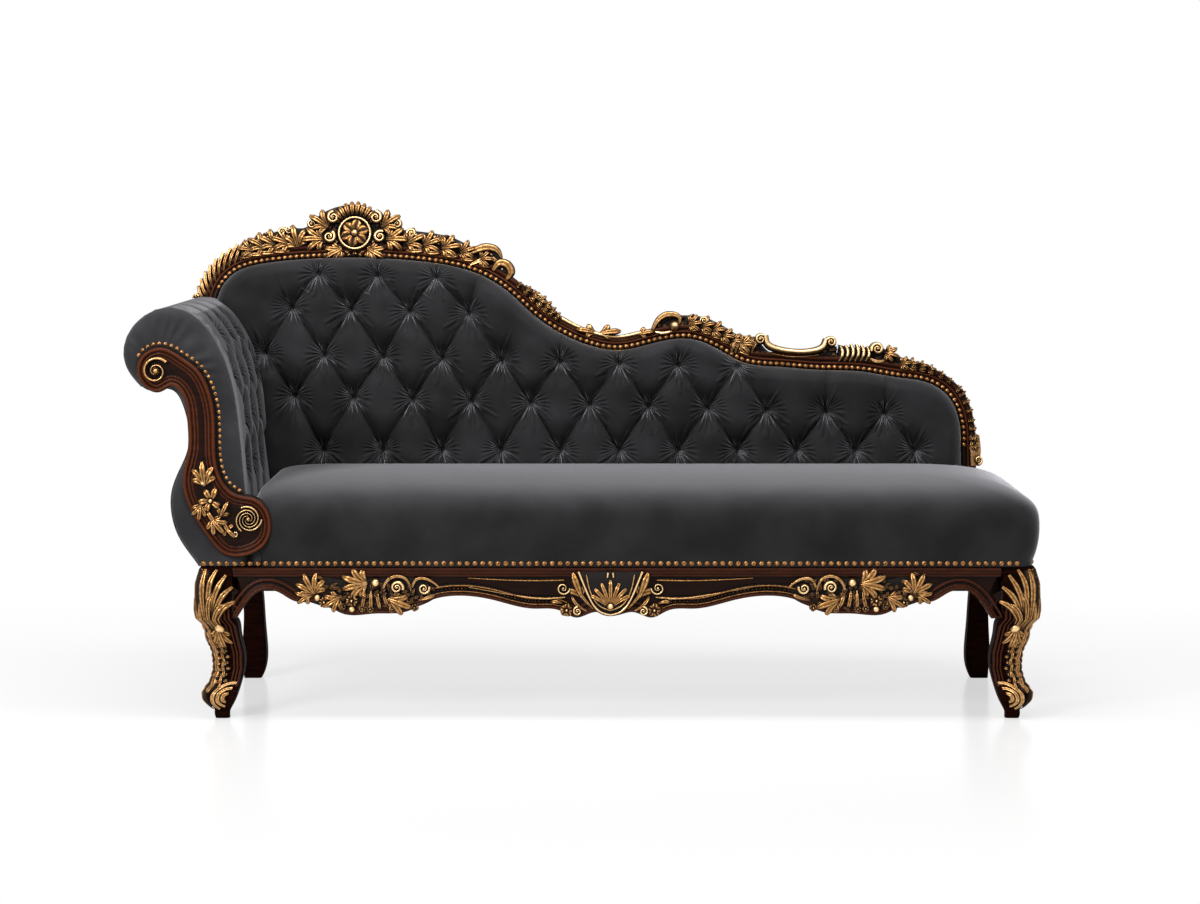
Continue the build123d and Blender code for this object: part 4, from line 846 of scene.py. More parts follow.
# Seat. Each row: height above the rail, inset of the front, inset of the right end,
# inset of the left and rear, corner radius
SEAT_SECTIONS = [
    (1, 1, 1, 0, 34), (8, 0, 0, 0, 34), (18, -3, -3, 0, 34), (45, -10, -10, 0, 36), (85, -13, -13, 0, 38),
    (116, -8, -8, 1, 40), (136, 12, 10, 4, 44), (151, 50, 36, 10, 50), (163, 115, 76, 26, 60),
    (171, 200, 150, 70, 70), (173, 250, 215, 150, 60),
]
SEAT_LEFT, SEAT_RIGHT, SEAT_FRONT = -660.0, 906.0, -6.0
PAD_FRONT = 68.0
CORNER_POINTS, END_POINTS, FRONT_POINTS = 14, 90, 260
SEAT_RIPPLE, RIPPLE_LEVEL, RIPPLE_HALF = 0.8, 134, 16


def rounded_loop(left, right, front, rear, corner):
    """Points round a rectangle with round corners, the same number on each side for every size."""
    corners = (
        (right - corner, front + corner, -90),
        (right - corner, rear - corner, 0),
        (left + corner, rear - corner, 90),
        (left + corner, front + corner, 180),
    )
    arcs = []
    for x, y, start in corners:
        angle = np.radians(np.linspace(start, start + 90, CORNER_POINTS))
        arcs.append(np.array((x, y)) + corner * ways(angle))
    runs = []
    for index, count in enumerate((END_POINTS, FRONT_POINTS) * 2):
        after = arcs[(index + 1) % 4]
        part = np.linspace(0, 1, count + 2)[1:-1, None]
        runs += [arcs[index], arcs[index][-1] * (1 - part) + after[0] * part]
    return np.concatenate(runs)


def seat_body():
    """Crowned sprung seat as rings from the nailed edge to the middle."""
    rows = []
    for height, front, end, rear, corner in smooth_line(SEAT_SECTIONS, 4.0):
        pad = back_front(RAIL_TOP + height) - PAD_FRONT / math.cos(RECLINE)
        loop = rounded_loop(SEAT_LEFT + rear, SEAT_RIGHT - end, SEAT_FRONT + front, pad - rear, corner)
        ripple = np.sin(loop[:, 0] * 0.045 + 2 * np.sin(loop[:, 0] * 0.011))
        level = RAIL_TOP + height + SEAT_RIPPLE * ripple * bell((height - RIPPLE_LEVEL) / RIPPLE_HALF)
        rows.append(np.stack([loop[:, 0], loop[:, 1], level], axis=1))
    ring = rows[-1]
    low, high = ring.min(axis=0), ring.max(axis=0)
    half_depth = (high[1] - low[1]) / 2
    spine = ring.copy()
    spine[:, 0] = np.clip(ring[:, 0], low[0] + half_depth, high[0] - half_depth)
    spine[:, 1] = low[1] + half_depth
    for share in (0.5, 1.0):
        rows.append(ring * (1 - share) + spine * share + (0, 0, share))
    heap = Heap()
    heap.add(np.concatenate(rows), grid_faces(len(rows), len(ring), closed=True), 0.0)
    piece = heap.build("sprung_seat", VELVET_SEAT, "velvet", ["seat_cover"], "fold")


seat_body()

# Covers that show from behind, from the arm end and from below
OUTSIDE_LAP, BACK_DEPTH, PANEL_FOOT, PANEL_STEP = 12.0, 42.2, 7.0, 6.0
PANEL_LIFT, PANEL_SLACK, SLACK_REACH, SLACK_WAVE = 2.5, 3.0, 130, 0.8
ARM_COVER_TOP = [(-880, 674), (-863, 665)]
ARM_COVER_FRONT, ARM_COVER_ROWS = 6.0, 90
DUST_NOTCH, DUST_FRONT_NOTCH, DUST_REAR_NOTCH, DUST_STEP = 771.0, 66.0, 536.0, 8.0


def slack_relief(points, distance):
    """A sheet held at its edges that stands a little off between them."""
    slack = np.sin(unit(distance / SLACK_REACH) * math.pi / 2)
    wave = np.sin(points[:, 0] * 0.011 + 1.5 * np.sin(points[:, 1] * 0.013))
    return PANEL_LIFT + (PANEL_SLACK + SLACK_WAVE * wave) * slack, np.zeros(len(points))


def outside_back():
    """Velvet stretched over the outside of the back; drawn mirrored, as it faces away."""
    edge = back_line + back_normals * OUTSIDE_LAP
    edge = edge[edge[:, 1] > PANEL_FOOT]
    foot = straight_line([(edge[-1][0], PANEL_FOOT), (edge[0][0], PANEL_FOOT), edge[0]], LINE_STEP)
    outline = np.concatenate([edge, foot]) * (-1, 1)

    def place(flat):
        return on_back(np.stack([-flat[:, 0], flat[:, 1], -BACK_DEPTH - flat[:, 2]], axis=1))

    heap = Heap()
    relief_plate(heap, outline, PANEL_STEP, slack_relief, place, 0.0)
    piece = heap.build("outside_back_panel", VELVET_BACK, "velvet", ["outside_back_cover"], "fold")


def outside_arm():
    """Velvet stretched over the hollow outside of the arm."""
    profile = smooth_line(ARM_COVER_TOP + ARM_OUTSIDE, 4.0)
    share = np.linspace(0, 1, ARM_COVER_ROWS)
    slack = np.sin(share * math.pi)[:, None] * np.sin(np.linspace(0, math.pi, len(profile)))
    side = profile - normals_of(profile) * (1 + PANEL_SLACK * slack)[:, :, None]
    depth = ARM_COVER_FRONT + share[:, None] * (back_front(side[:, :, 1]) - ARM_COVER_FRONT)
    points = np.stack([side[:, :, 0], depth, side[:, :, 1]], axis=2).reshape(-1, 3)
    heap = Heap()
    heap.add(points, grid_faces(ARM_COVER_ROWS, len(profile), flip=True), 0.0)
    piece = heap.build("outside_arm_panel", VELVET_ARM_PAINTED_SHEEN, "velvet", ["outside_arm_cover"], "fold")


def dust_cover():
    """Black cloth stretched under the seat, cut out round the legs; drawn mirrored, as it faces down."""
    low, high = ((np.asarray(corner) - ORIGIN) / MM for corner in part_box("dust_cover"))
    middle = (low[0] + high[0]) / 2
    half = (high[0] - low[0]) / 2
    rear = [(half, DUST_REAR_NOTCH), (DUST_NOTCH, DUST_REAR_NOTCH), (DUST_NOTCH, high[1])]
    front = [(-half, DUST_FRONT_NOTCH), (-DUST_NOTCH, DUST_FRONT_NOTCH), (-DUST_NOTCH, low[1])]
    rear_left = [(-x, y) for x, y in rear[::-1]]
    front_right = [(-x, y) for x, y in front[::-1]]
    outline = straight_line(rear + rear_left + front + front_right + rear[:1], 4.0)[:-1]

    def place(flat):
        return np.stack([middle - flat[:, 0], flat[:, 1], high[2] - flat[:, 2]], axis=1)

    heap = Heap()
    relief_plate(heap, outline, DUST_STEP, slack_relief, place, 0.0)
    piece = heap.build("dust_cloth_panel", DUST, "dust_cloth", ["dust_cover"], "fold")


outside_back()
outside_arm()
dust_cover()

# Carved back rail. Each row: offset from the nailed edge, out from the back frame, edge value: painted
# highlight on the ridges of the moulding
RAIL_SECTION = [
    (-3, 6, 0.0), (-1, 19, 0.0), (10.5, 19.5, 0.05), (11.5, 16.5, 0.0), (12.6, 20, 0.35), (14.8, 23, 0.7),
    (17, 21, 0.35), (18.2, 17, 0.0), (20, 19.5, 0.25), (23.5, 22.5, 0.45), (28, 22, 0.35), (31.5, 17, 0.2),
    (32, 8, 0.1), (32, -42, 0.0), (-3, -42, 0.0),
]


def back_rail():
    """One moulded section along the nailed edge."""
    count = len(back_line)
    rows = []
    values = []
    for offset, out, value in RAIL_SECTION:
        line = back_line + back_normals * offset
        rows.append(on_back(with_column(line, out)))
        values.append(np.full(count, value))
    heap = Heap()
    heap.add(np.concatenate(rows), grid_faces(len(RAIL_SECTION), count), np.concatenate(values))
    nodes = ["crest_rail_high", "crest_rail_low", "back_end_post"]
    heap.build("carved_back_rail", WOOD, "dark_wood", nodes, "edge")


back_rail()

# Carving along the back: place along X and height up the back of each piece's free edge
SILHOUETTE = {
    "crest_spray_left": [
        (-846, 500), (-842, 532), (-830, 565), (-795, 610), (-728, 649), (-670, 671), (-642, 676),
    ],
    "crest_cartouche": [
        (-640, 683), (-607, 680), (-588, 697), (-555, 719), (-498, 729), (-447, 713), (-415, 696),
        (-396, 674),
    ],
    "crest_spray_right": [(-394, 675), (-331, 668), (-277, 655), (-216, 629), (-187, 622), (-173, 596)],
    "sweep_carving": [(-171, 592), (-155, 570), (-101, 541), (-70, 512), (-43, 478)],
    "hump_carving": [(145, 455), (158, 470), (178, 483), (214, 488), (257, 485), (305, 465), (338, 444)],
    "scroll_carving": [(340, 443), (380, 441), (402, 416), (470, 408), (510, 414), (531, 427), (551, 424)],
    "volute_carving": [(553, 424), (585, 418), (614, 418), (639, 423), (665, 408), (678, 400)],
    "end_carving": [
        (680, 399), (729, 386), (765, 371), (800, 347), (826, 323), (842, 290), (851, 250),
        (860, 190), (856, 152),
    ],
}
BAND_INNER, BACK_LIFT = 20.0, 16.0
FILL_BRIGHTNESS, FILL_MARGIN = 0.76, 4
GROUND_EDGE, GROUND_RISE, GROUND_ROLL, GROUND_ROUGH = 4, 11, 14, 1.5
GROUND_VALUE, GROUND_SPECKLE = 0.2, 0.15
GROUND_PITCH, GROUND_OVERLAP, GROUND_DEPTH = 11.5, 3.0, 14.0
outer_line = np.concatenate([smooth_line(points, LINE_STEP) for points in SILHOUETTE.values()])
outer_distance, outer_index = nearest(outer_line, back_line)
outer_order = np.argsort(outer_index)
band_width = np.interp(np.arange(len(back_line)), outer_index[outer_order], outer_distance[outer_order])


def index_on(line, x, up):
    """Nearest place on a line."""
    return int(nearest(np.array([[x, up]], float), line)[1][0])


index_at = functools.partial(index_on, back_line)


def band(index, share):
    """A point on the carved band, from its inner edge to the silhouette."""
    index = np.clip(index, 0, len(back_line) - 1)
    offset = BAND_INNER + (band_width[index] - BAND_INNER) * share
    return back_line[index] + back_normals[index] * offset


def heading(index):
    """Direction of the nailed edge in degrees."""
    normal = back_normals[index]
    return math.degrees(math.atan2(-normal[0], normal[1]))


def fill_with_curls(carving, outline, pitch, lift):
    """Small curls set over a field at random so that no plain ground is left."""
    low, high = outline.min(axis=0), outline.max(axis=0)
    grid = np.meshgrid(np.arange(low[0], high[0], pitch), np.arange(low[1], high[1], pitch))
    spots = np.stack(grid, axis=2).reshape(-1, 2)
    spots = spots + random.uniform(-0.3, 0.3, spots.shape) * pitch
    edge, _ = nearest(spots, outline)
    for spot in spots[inside_of(spots, outline) & (edge > FILL_MARGIN)]:
        way = random.uniform(0, 360)
        bend = random.uniform(-110, 110)
        length = pitch * random.uniform(1.4, 2.1)
        half = pitch * random.uniform(0.28, 0.38)
        tip = spot + 0.95 * length * ways(math.radians(way + bend / 3))
        if inside_of(tip[None, :], outline)[0]:
            rise = pitch * random.uniform(0.7, 1.0)
            carving.curl(spot, way, length, half, bend, rise, lift, FILL_BRIGHTNESS)


def back_carving(name, inset=4.0):
    """A carving of the back on its dark rounded ground, filled with small curls."""
    carving = Carving(on_back, BACK_LIFT)
    top = smooth_line(SILHOUETTE[name], LINE_STEP)
    top = top - normals_of(top) * inset
    run = slice(index_at(*SILHOUETTE[name][0]), index_at(*SILHOUETTE[name][-1]) + 1)
    under = back_line[run] + back_normals[run] * BAND_INNER
    ahead = (top[-1] - top[-2]) / np.linalg.norm(top[-1] - top[-2]) * GROUND_OVERLAP
    astern = (top[0] - top[1]) / np.linalg.norm(top[0] - top[1]) * GROUND_OVERLAP
    start = [under[0] + astern, top[0] + astern]
    end = [top[-1] + ahead, under[-1] + ahead]
    outline = np.concatenate([start, top, end, under[::-1]])

    def relief(points, distance):
        x, up = points.T
        rough = np.sin(x * 0.55 + 2 * np.sin(up * 0.21)) * np.sin(up * 0.5 + x * 0.17)
        swell = dome(distance / GROUND_ROLL)
        height = GROUND_EDGE + (GROUND_RISE + GROUND_ROUGH * rough) * swell
        return height, GROUND_VALUE + GROUND_SPECKLE * rough

    relief_plate(carving.heap, outline, LINE_STEP, relief, on_back, GROUND_DEPTH)
    fill_with_curls(carving, outline, GROUND_PITCH, -3)
    return carving


def leafy_run(carving, first, last, count, length, lean=20.0):
    """Overlapping plumes that climb along the band, with curls below them and buds between."""
    onward = 1 if last > first else -1
    pitch = (last - first) / (count - 1)
    for place in np.linspace(first, last, count):
        index = int(place)
        size = min(length, 0.95 * (band_width[index] - BAND_INNER))
        way = heading(index) + (0 if onward > 0 else 180)
        jitter = random.uniform(-8, 8)
        carving.curl(band(index, 0.0), way - onward * 4, size * 0.9, size * 0.13, onward * 30, 13)
        carving.plume(band(index, 0.28), way + onward * lean + jitter, size, 56, 5, 15, 1)
        carving.knob(band(int(place + pitch / 2), 0.68), size * 0.13, 16)


def crest_left():
    """Slanting gadroons that wrap over the band, then leaves up to the boss."""
    carving = back_carving("crest_spray_left")
    start, turn, end = index_at(-800, 478), index_at(-735, 590), index_at(-642, 604)
    for index in range(start, turn + 6, 4):
        line = [band(index, -0.1), band(index + 5, 0.5), band(index + 10, 1.0)]
        carving.scroll(line, [2.6, 4.8, 5.2, 3.0], [6, 15, 14, 4], 0.25, -1, 1.0, 4.0)
    carving.rosette(band(start + 2, 0.6), 13, 6, 14)
    carving.volute(band(start + 12, 0.85), 11, 200, 1.4, 14, -1)
    leafy_run(carving, end + 2, turn + 8, 4, 46, 28)
    carving.rosette(band(end - 12, 0.7), 14, 5, 14, 0, 2)
    carving.volute(band(end - 2, 0.8), 14, 0, 1.5, 14)
    carving.finish("crest_left_leaves", "crest_spray_left")


def crest_middle():
    """Round boss with a rosette, a shell above it, and volutes and plumes on both sides."""
    carving = back_carving("crest_cartouche")
    boss = np.array([-497.0, 661.0])
    carving.knob(boss, 35, 9, 2, 0.7, 40, 7)
    carving.blade(boss + 34 * ways(np.radians(np.linspace(0, 360, 49))), [4.4], [12], 0, 4)
    carving.rosette(boss, 31, 6, 12, 18, 9)
    for angle in range(36, 145, 12):
        way = ways(math.radians(angle))
        line = [boss + way * reach for reach in (40, 54, 71 - 0.1 * abs(angle - 90))]
        carving.scroll(line, [3.4, 6.2, 7.4, 3], [9, 17, 16, 5], 0.3, 1)
    for angle in range(204, 337, 22):
        way = ways(math.radians(angle))
        line = [boss + way * reach for reach in (37, 45, 53)]
        carving.scroll(line, [3.4, 6.4, 3], [8, 13, 4], 0.3, 0, 1, 2)
    for side in (-1, 1):
        carving.volute(boss + (side * 46, 34), 19, 90, 1.5, 18, -side, lift=2)
        carving.volute(boss + (side * 55, -8), 19, 60, 1.5, 16, side, lift=2)
        carving.volute(boss + (side * 92, 20), 14, 120, 1.4, 14, -side)
        carving.plume(boss + (side * 58, 14), 90 - side * 58, 48, 52, 5, 16, 1)
        carving.plume(boss + (side * 68, -12), 90 - side * 92, 52, 46, 5, 15, 1)
        carving.plume(boss + (side * 28, -34), 90 - side * 118, 46, 40, 5, 14, 2)
        carving.curl(boss + (side * 30, -28), 90 - side * 150, 40, 6, side * 110, 15, 2)
    carving.plume(boss + (-124, -30), 104, 50, 54, 5, 15, 1)
    carving.volute(boss + (-142, 6), 12, 120, 1.4, 14)
    carving.finish("crest_boss_and_shell", "crest_cartouche")


def crest_right():
    """Leaves down from the boss, ending in two rolled stems."""
    carving = back_carving("crest_spray_right")
    start, end = index_at(-394, 605), index_at(-215, 566)
    leafy_run(carving, start + 2, end - 8, 5, 46, 24)
    carving.volute(band(start + 5, 0.75), 15, 180, 1.5, 14, -1)
    carving.rosette(band(start + 24, 0.6), 13, 5, 14, 10, 2)
    upper = [(-268, 612), (-238, 622), (-208, 630), (-186, 622), (-178, 606)]
    carving.scroll(upper, [4, 8, 11, 9, 3], [9, 15, 18, 15, 6], 0.25)
    lower = [(-246, 592), (-214, 604), (-192, 602), (-184, 586)]
    carving.scroll(lower, [4, 7, 8, 3], [8, 13, 13, 5], 0.2)
    carving.finish("crest_right_leaves", "crest_spray_right")


# Each row: root, direction, length, spread
SWEEP_TENDRILS = [((36, 443), 6, 46, 16), ((26, 445), 170, 42, 16), ((120, 441), 12, 34, 20)]


def sweep():
    """Leaves down the sweep of the back, and a gilt bead in its hollow."""
    carving = back_carving("sweep_carving")
    roll = [(-196, 580), (-182, 596), (-166, 592), (-158, 576), (-168, 560)]
    carving.scroll(roll, [5, 10, 11, 10, 4], [9, 17, 18, 15, 6], 0.25)
    start, end = index_at(-165, 545), index_at(-60, 455)
    leafy_run(carving, start + 4, end - 6, 7, 36)
    carving.volute(band(start + 22, 0.5), 11, 150, 1.4, 14, -1)
    run = slice(index_at(-95, 475), index_at(165, 424))
    bead = back_line[run] + back_normals[run] * 28.5
    carving.blade(bead, [2.5, 5.4, 4.2, 5.4, 4.0, 5.6, 3.0], [4, 10, 7, 11, 7, 11, 5])
    carving.blade(back_line[run] + back_normals[run] * 21, [1.6], [4.5], bright=0.75, across=7)
    for tendril in SWEEP_TENDRILS:
        carving.plume(*tendril, 3, 9, 3)
    carving.finish("sweep_leaves", "sweep_carving")


def hump():
    """A rolled stem about a bud, and leaves down the hump of the back."""
    carving = back_carving("hump_carving")
    carving.knob((198, 459), 12, 22)
    roll = [(150, 450), (163, 472), (190, 484), (209, 476), (206, 462)]
    carving.scroll(roll, [4, 7, 8.5, 7, 4], [8, 16, 17, 15, 8], 0.2)
    carving.scroll([(156, 446), (174, 443), (192, 448)], [4, 6, 4], [8, 13, 8])
    leafy_run(carving, index_at(226, 431), index_at(322, 393), 6, 38)
    carving.volute((262, 470), 13, 200, 1.4, 15, -1)
    carving.rosette((236, 474), 12, 5, 14)
    carving.finish("hump_scroll", "hump_carving")


def right_scroll():
    """A long C-scroll between two volutes."""
    carving = back_carving("scroll_carving", 8.0)
    for number in range(6):
        x = 320 + number * 9
        line = [(x, 400), (x + 8, 420), (x + 24, 438 - number)]
        carving.scroll(line, [3, 5.6, 5.6, 2.5], [8, 16, 16, 6], 0.2)
    carving.volute((384, 429), 16, 60, 1.5, 21, 1, 0.36)
    carving.volute((537, 423), 16, 150, 1.5, 21, -1, 0.36)
    rail = [(394, 438), (398, 421), (420, 409), (460, 403), (500, 405), (520, 414), (527, 430)]
    carving.scroll(rail, [8, 8.5, 7.5, 7, 7.5, 8.5, 8], [19, 19, 17, 16, 17, 19, 19])
    carving.scroll([(398, 402), (450, 392), (510, 396)], [2, 3, 2], [7, 8, 7], bright=0.8)
    carving.finish("right_c_scroll", "scroll_carving")


def right_volute():
    """A fluted bell and a volute."""
    carving = back_carving("volute_carving")
    for number in range(6):
        x = 557 + number * 11.5
        line = [(x - 3, 382), (x + 5, 400), (x, 421 - 2.4 * abs(number - 2.5))]
        carving.scroll(line, [3, 5.8, 6.2, 3.2], [8, 17, 17, 7])
    carving.volute((637, 408), 20, 200, 1.6, 22, -1, 0.36)
    carving.scroll([(620, 390), (634, 382), (654, 384)], [3, 6, 3], [8, 13, 7], 0.2)
    carving.plume((654, 402), -18, 34, 50, 5, 13)
    carving.finish("right_bell_and_volute", "volute_carving")


def right_end():
    """A garland of leaves round the low end, with a fluted foot."""
    carving = back_carving("end_carving")
    start, turn, foot = index_at(684, 348), index_at(789, 309), index_at(818, 160)
    leafy_run(carving, start, turn, 7, 34)
    leafy_run(carving, turn + 3, foot - 14, 7, 36)
    for number in range(5):
        share = 0.12 + 0.18 * number
        line = [band(foot + 2, share), band(foot - 8, share), band(foot - 20, 1.1 * share)]
        carving.scroll(line, [3, 5.2, 3], [8, 14, 7], 0.2)
    carving.volute(band(foot - 2, 0.8), 13, 270, 1.5, 17, 1, 0.36)
    carving.finish("right_end_garland", "end_carving")


for carve in (crest_left, crest_middle, crest_right, sweep, hump, right_scroll, right_volute, right_end):
    carve()

# Apron
APRON_CORNER, APRON_TOP_POINTS = 208, 600
APRON_STEP, APRON_DEPTH = 2.2, 26.0
UPPER_BEADS = [(4, 4.2, 7), (11, 3.2, 5.5), (17, 2.4, 4.5)]
LOWER_BEADS = [(3.5, 3.6, 6), (9.5, 2.2, 4.5), (20, 3.0, 4.0)]
APRON_FIELD, FIELD_TOP, FIELD_FOOT, FIELD_BLEND, FIELD_LEVEL = 1.5, 20, 24, 3, 1.4
# Edge values of the apron's beads and raised field: painted highlight on the wood
UPPER_VALUE, LOWER_VALUE, FIELD_VALUE = 0.46, 0.55, 0.1
apron_half = np.array(APRON_HALF, float)
apron_points = np.concatenate([apron_half[:0:-1] * (-1, 1), apron_half]) + (APRON_MIDDLE, 0)
apron_line = smooth_line(apron_points, 2.5)
apron_normals = normals_of(apron_line)
SHIELD_MIDDLE = 57.0
SHIELD_HALF = [(0, 304), (44, 303), (66, 301), (60, 272), (48, 246), (34, 226), (14, 213), (0, 211)]
SHIELD_EDGE = [(64, 302), (57, 284), (46, 258), (34, 235), (20, 221), (0, 215)]
SHIELD_INNER = [(48, 296), (44, 274), (35, 250), (20, 232), (0, 224)]
SHIELD_BASE, SHIELD_RISE, SHIELD_ROLL, SHIELD_VALUE = 2, 9, 24, 0.18
SPRAY_PLACE = 497.0
SPRAY_RISE, SPRAY_ROLL, SPRAY_ROUGH, SPRAY_VALUE = 2.5, 5, 0.8, 0.16
SPRAY_RING = [
    (-146, 262), (-112, 286), (-60, 290), (0, 288), (60, 288), (128, 292), (142, 262), (110, 238), (66, 226),
    (20, 221), (-40, 221), (-96, 228),
]
# Each row: place from the middle of the spray, direction, length, spread, lobes, height
SPRAY_PLUMES = [
    ((104, 256), 62, 46, 74, 7, 11), ((112, 254), -12, 34, 40, 4, 10), ((-2, 277), 2, 54, 48, 6, 11),
    ((-44, 246), 200, 50, 34, 5, 10), ((52, 250), 330, 40, 44, 5, 10),
]
# Each row: place, radius, height, lift
SPRAY_BUDS = [((98, 249), 8, 11, 1), ((-19, 279), 10, 14, 1), ((29, 226), 8, 10, 0)]
SPRAY_BLOSSOMS = [(-66, 231), (-82, 234), (-97, 229), (-8, 226), (-52, 226), (8, 227), (48, 231)]


def apron():
    """Moulded and scalloped front rail."""
    left = [[APRON_LEFT, RAIL_TOP], [APRON_LEFT, APRON_CORNER]]
    right = [[APRON_RIGHT, APRON_CORNER], [APRON_RIGHT, RAIL_TOP]]
    top = level_line(APRON_RIGHT, APRON_LEFT, RAIL_TOP, APRON_TOP_POINTS)
    outline = np.concatenate([left, apron_line, right, top])
    heap = Heap()

    def relief(points, distance):
        low, _ = nearest(points, apron_line)
        high = RAIL_TOP - points[:, 1]
        upper, upper_value = moulding(high, UPPER_BEADS)
        lower, lower_value = moulding(low, LOWER_BEADS)
        field = unit((high - FIELD_TOP) / FIELD_BLEND) * unit((low - FIELD_FOOT) / FIELD_BLEND)
        field = APRON_FIELD * field
        lower_value = np.maximum(lower_value * LOWER_VALUE, FIELD_VALUE * (field > FIELD_LEVEL))
        value = np.maximum(upper_value * UPPER_VALUE, lower_value)
        return np.maximum(np.maximum(upper, lower), field), value

    relief_plate(heap, outline, APRON_STEP, relief, on_front(0.0), APRON_DEPTH)
    heap.build("moulded_apron", WOOD, "dark_wood", ["front_seat_rail"], "edge")


def apron_lines():
    """Gilt lines and pearls along the lower edge between the carvings."""
    carving = Carving(on_front(0.0), 1.0)
    for side in (-1, 1):
        near = index_on(apron_line, APRON_MIDDLE + side * 100, 224)
        far = index_on(apron_line, APRON_MIDDLE + side * 372, 242)
        low, high = sorted((near, far))
        run = slice(low, high + 1)
        for offset, width in ((9.5, 1.5), (21, 2.0)):
            line = apron_line[run] + apron_normals[run] * offset
            carving.blade(line, [width], [5.5], 0, 0.5, 0.72, 7)
        for index in range(low + 6, high - 4, 3):
            carving.knob(apron_line[index] + apron_normals[index] * 15, 2.3, 3.6, 0, 0.62, 8, 4)
        centre = SHIELD_MIDDLE + side * 95
        carving.volute((centre, 268), 17, 90 + side * 90, 1.4, 9, side, 0.2)
        upper = [(centre + side * x, z) for x, z in ((-2, 284), (60, 283), (190, 288))]
        carving.scroll(upper, [2.4, 1.8, 1.4], [6, 5, 3], bright=0.75)
        stem = [(centre + side * x, z) for x, z in ((-4, 250), (30, 247), (100, 254), (190, 270))]
        carving.scroll(stem, [3, 2.6, 1.8, 1.6], [7, 6, 5, 4], bright=0.85)
    carving.finish("apron_gilt_lines")


def cartouche():
    """Shield with a palmette, flanked by leaves and scrolls."""
    carving = Carving(on_front(0.0))
    middle = np.array([SHIELD_MIDDLE, 0.0])
    other = [(-x, z) for x, z in SHIELD_HALF[-2:0:-1]]
    outline = smooth_line([middle + point for point in SHIELD_HALF + other], 2.5, True)

    def relief(points, distance):
        height = SHIELD_BASE + SHIELD_RISE * dome(distance / SHIELD_ROLL)
        return height, SHIELD_VALUE + 0.05 * np.sin(points[:, 0] * 0.4)

    relief_plate(carving.heap, outline, 2.0, relief, on_front(0.0), 4.0)
    root = middle + (0, 232)
    for number in range(7):
        share = (number - 3) / 3
        carving.curl(root + (share * 5, 0), 90 - share * 48, 56 - 12 * abs(share), 5.0, -share * 34, 9, 8)
    for side in (-1, 1):
        edge = [middle + (side * x, z) for x, z in SHIELD_EDGE]
        carving.scroll(edge, [4, 4, 3.6, 3.4, 3], [9, 9, 8, 8, 7], 0, 5)
        inner = [middle + (side * x, z) for x, z in SHIELD_INNER]
        carving.scroll(inner, [2.4], [7], 0, 7, 0.85)
        carving.scroll([middle + (side * 5, 300), middle + (side * 6, 290)], [3.4, 2.6], [7, 5], 0, 9, 1, 2)
        carving.plume(middle + (side * 58, 250), 90 - side * 20, 52, 22, 3, 10, 3)
        carving.curl(middle + (side * 34, 226), 90 - side * 44, 62, 4.2, side * 22, 8, 3)
        carving.curl(middle + (side * 48, 222), 90 - side * 62, 44, 4.0, side * 50, 8, 3)
        carving.curl(middle + (side * 96, 236), 90 - side * 60, 26, 4, -side * 70, 8, 2)
        carving.volute(middle + (side * 66, 222), 13, 90, 1.4, 11, -side, 0.32, 2)
        carving.rosette(middle + (side * 88, 224), 14, 5, 11, 10, 3)
    carving.knob(root, 8, 12, 8)
    carving.finish("apron_shield", "apron_cartouche")


def spray(side, name, node):
    """Leaves, a bud and rolled flowers on the apron between the shield and a leg."""
    carving = Carving(on_front(0.0), 2.0)

    def at(x, z):
        return (APRON_MIDDLE + side * SPRAY_PLACE + side * x, z)

    def way(angle):
        return angle if side > 0 else 180 - angle

    def relief(points, distance):
        rough = np.sin(points[:, 0] * 0.5) * np.sin(points[:, 1] * 0.6)
        height = SPRAY_RISE * unit(distance / SPRAY_ROLL) + SPRAY_ROUGH * rough
        return height, SPRAY_VALUE + 0.1 * rough

    outline = smooth_line([at(x, z) for x, z in SPRAY_RING], 2.5, True)
    relief_plate(carving.heap, outline, 2.5, relief, on_front(0.0), 2.0)
    fill_with_curls(carving, outline, 12.0, -1.5)
    for root, angle, *leaf in SPRAY_PLUMES:
        carving.plume(at(*root), way(angle), *leaf)
    for place, *bud in SPRAY_BUDS:
        carving.knob(at(*place), *bud)
    for number, x in enumerate((2, -10, -22, -34)):
        carving.curl(at(x, 264), way(-82 - 6 * number), 40, 4.6, side * (8 - 12 * number), 10)
    carving.curl(at(-104, 244), way(168), 38, 4.2, -side * 20, 9)
    carving.volute(at(-62, 270), 18, way(200), 1.6, 12, -side, 0.3, 1)
    carving.volute(at(-116, 268), 16, way(160), 1.5, 11, side, 0.3, 1)
    stem = [at(-33, 260), at(-40, 280), at(-60, 292), at(-80, 286), at(-90, 262)]
    carving.scroll(stem, [3, 4.4, 4.4, 4, 2.5], [7, 10, 10, 9, 5], 0.2)
    stem = [at(-92, 270), at(-102, 286), at(-122, 286), at(-148, 268)]
    carving.scroll(stem, [3, 4, 3.6, 2], [7, 9, 8, 4], 0.2)
    carving.rosette(at(84, 240), 12, 5, 10, 20)
    carving.rosette(at(29, 243), 14, 5, 11, 0, 1)
    for x, z in SPRAY_BLOSSOMS:
        carving.rosette(at(x, z), 8.5, 5, 9, x)
    carving.finish(name, node)


apron()
apron_lines()
cartouche()
spray(-1, "apron_flowers_left", "apron_spray_left")
spray(1, "apron_flowers_right", "apron_spray_right")

# Front legs: carving laid on the faces of the solid leg
FRAME_MIDDLE, FRAME_LENGTH, FOOT_INSET = 71.0, 1674.0, 39.0
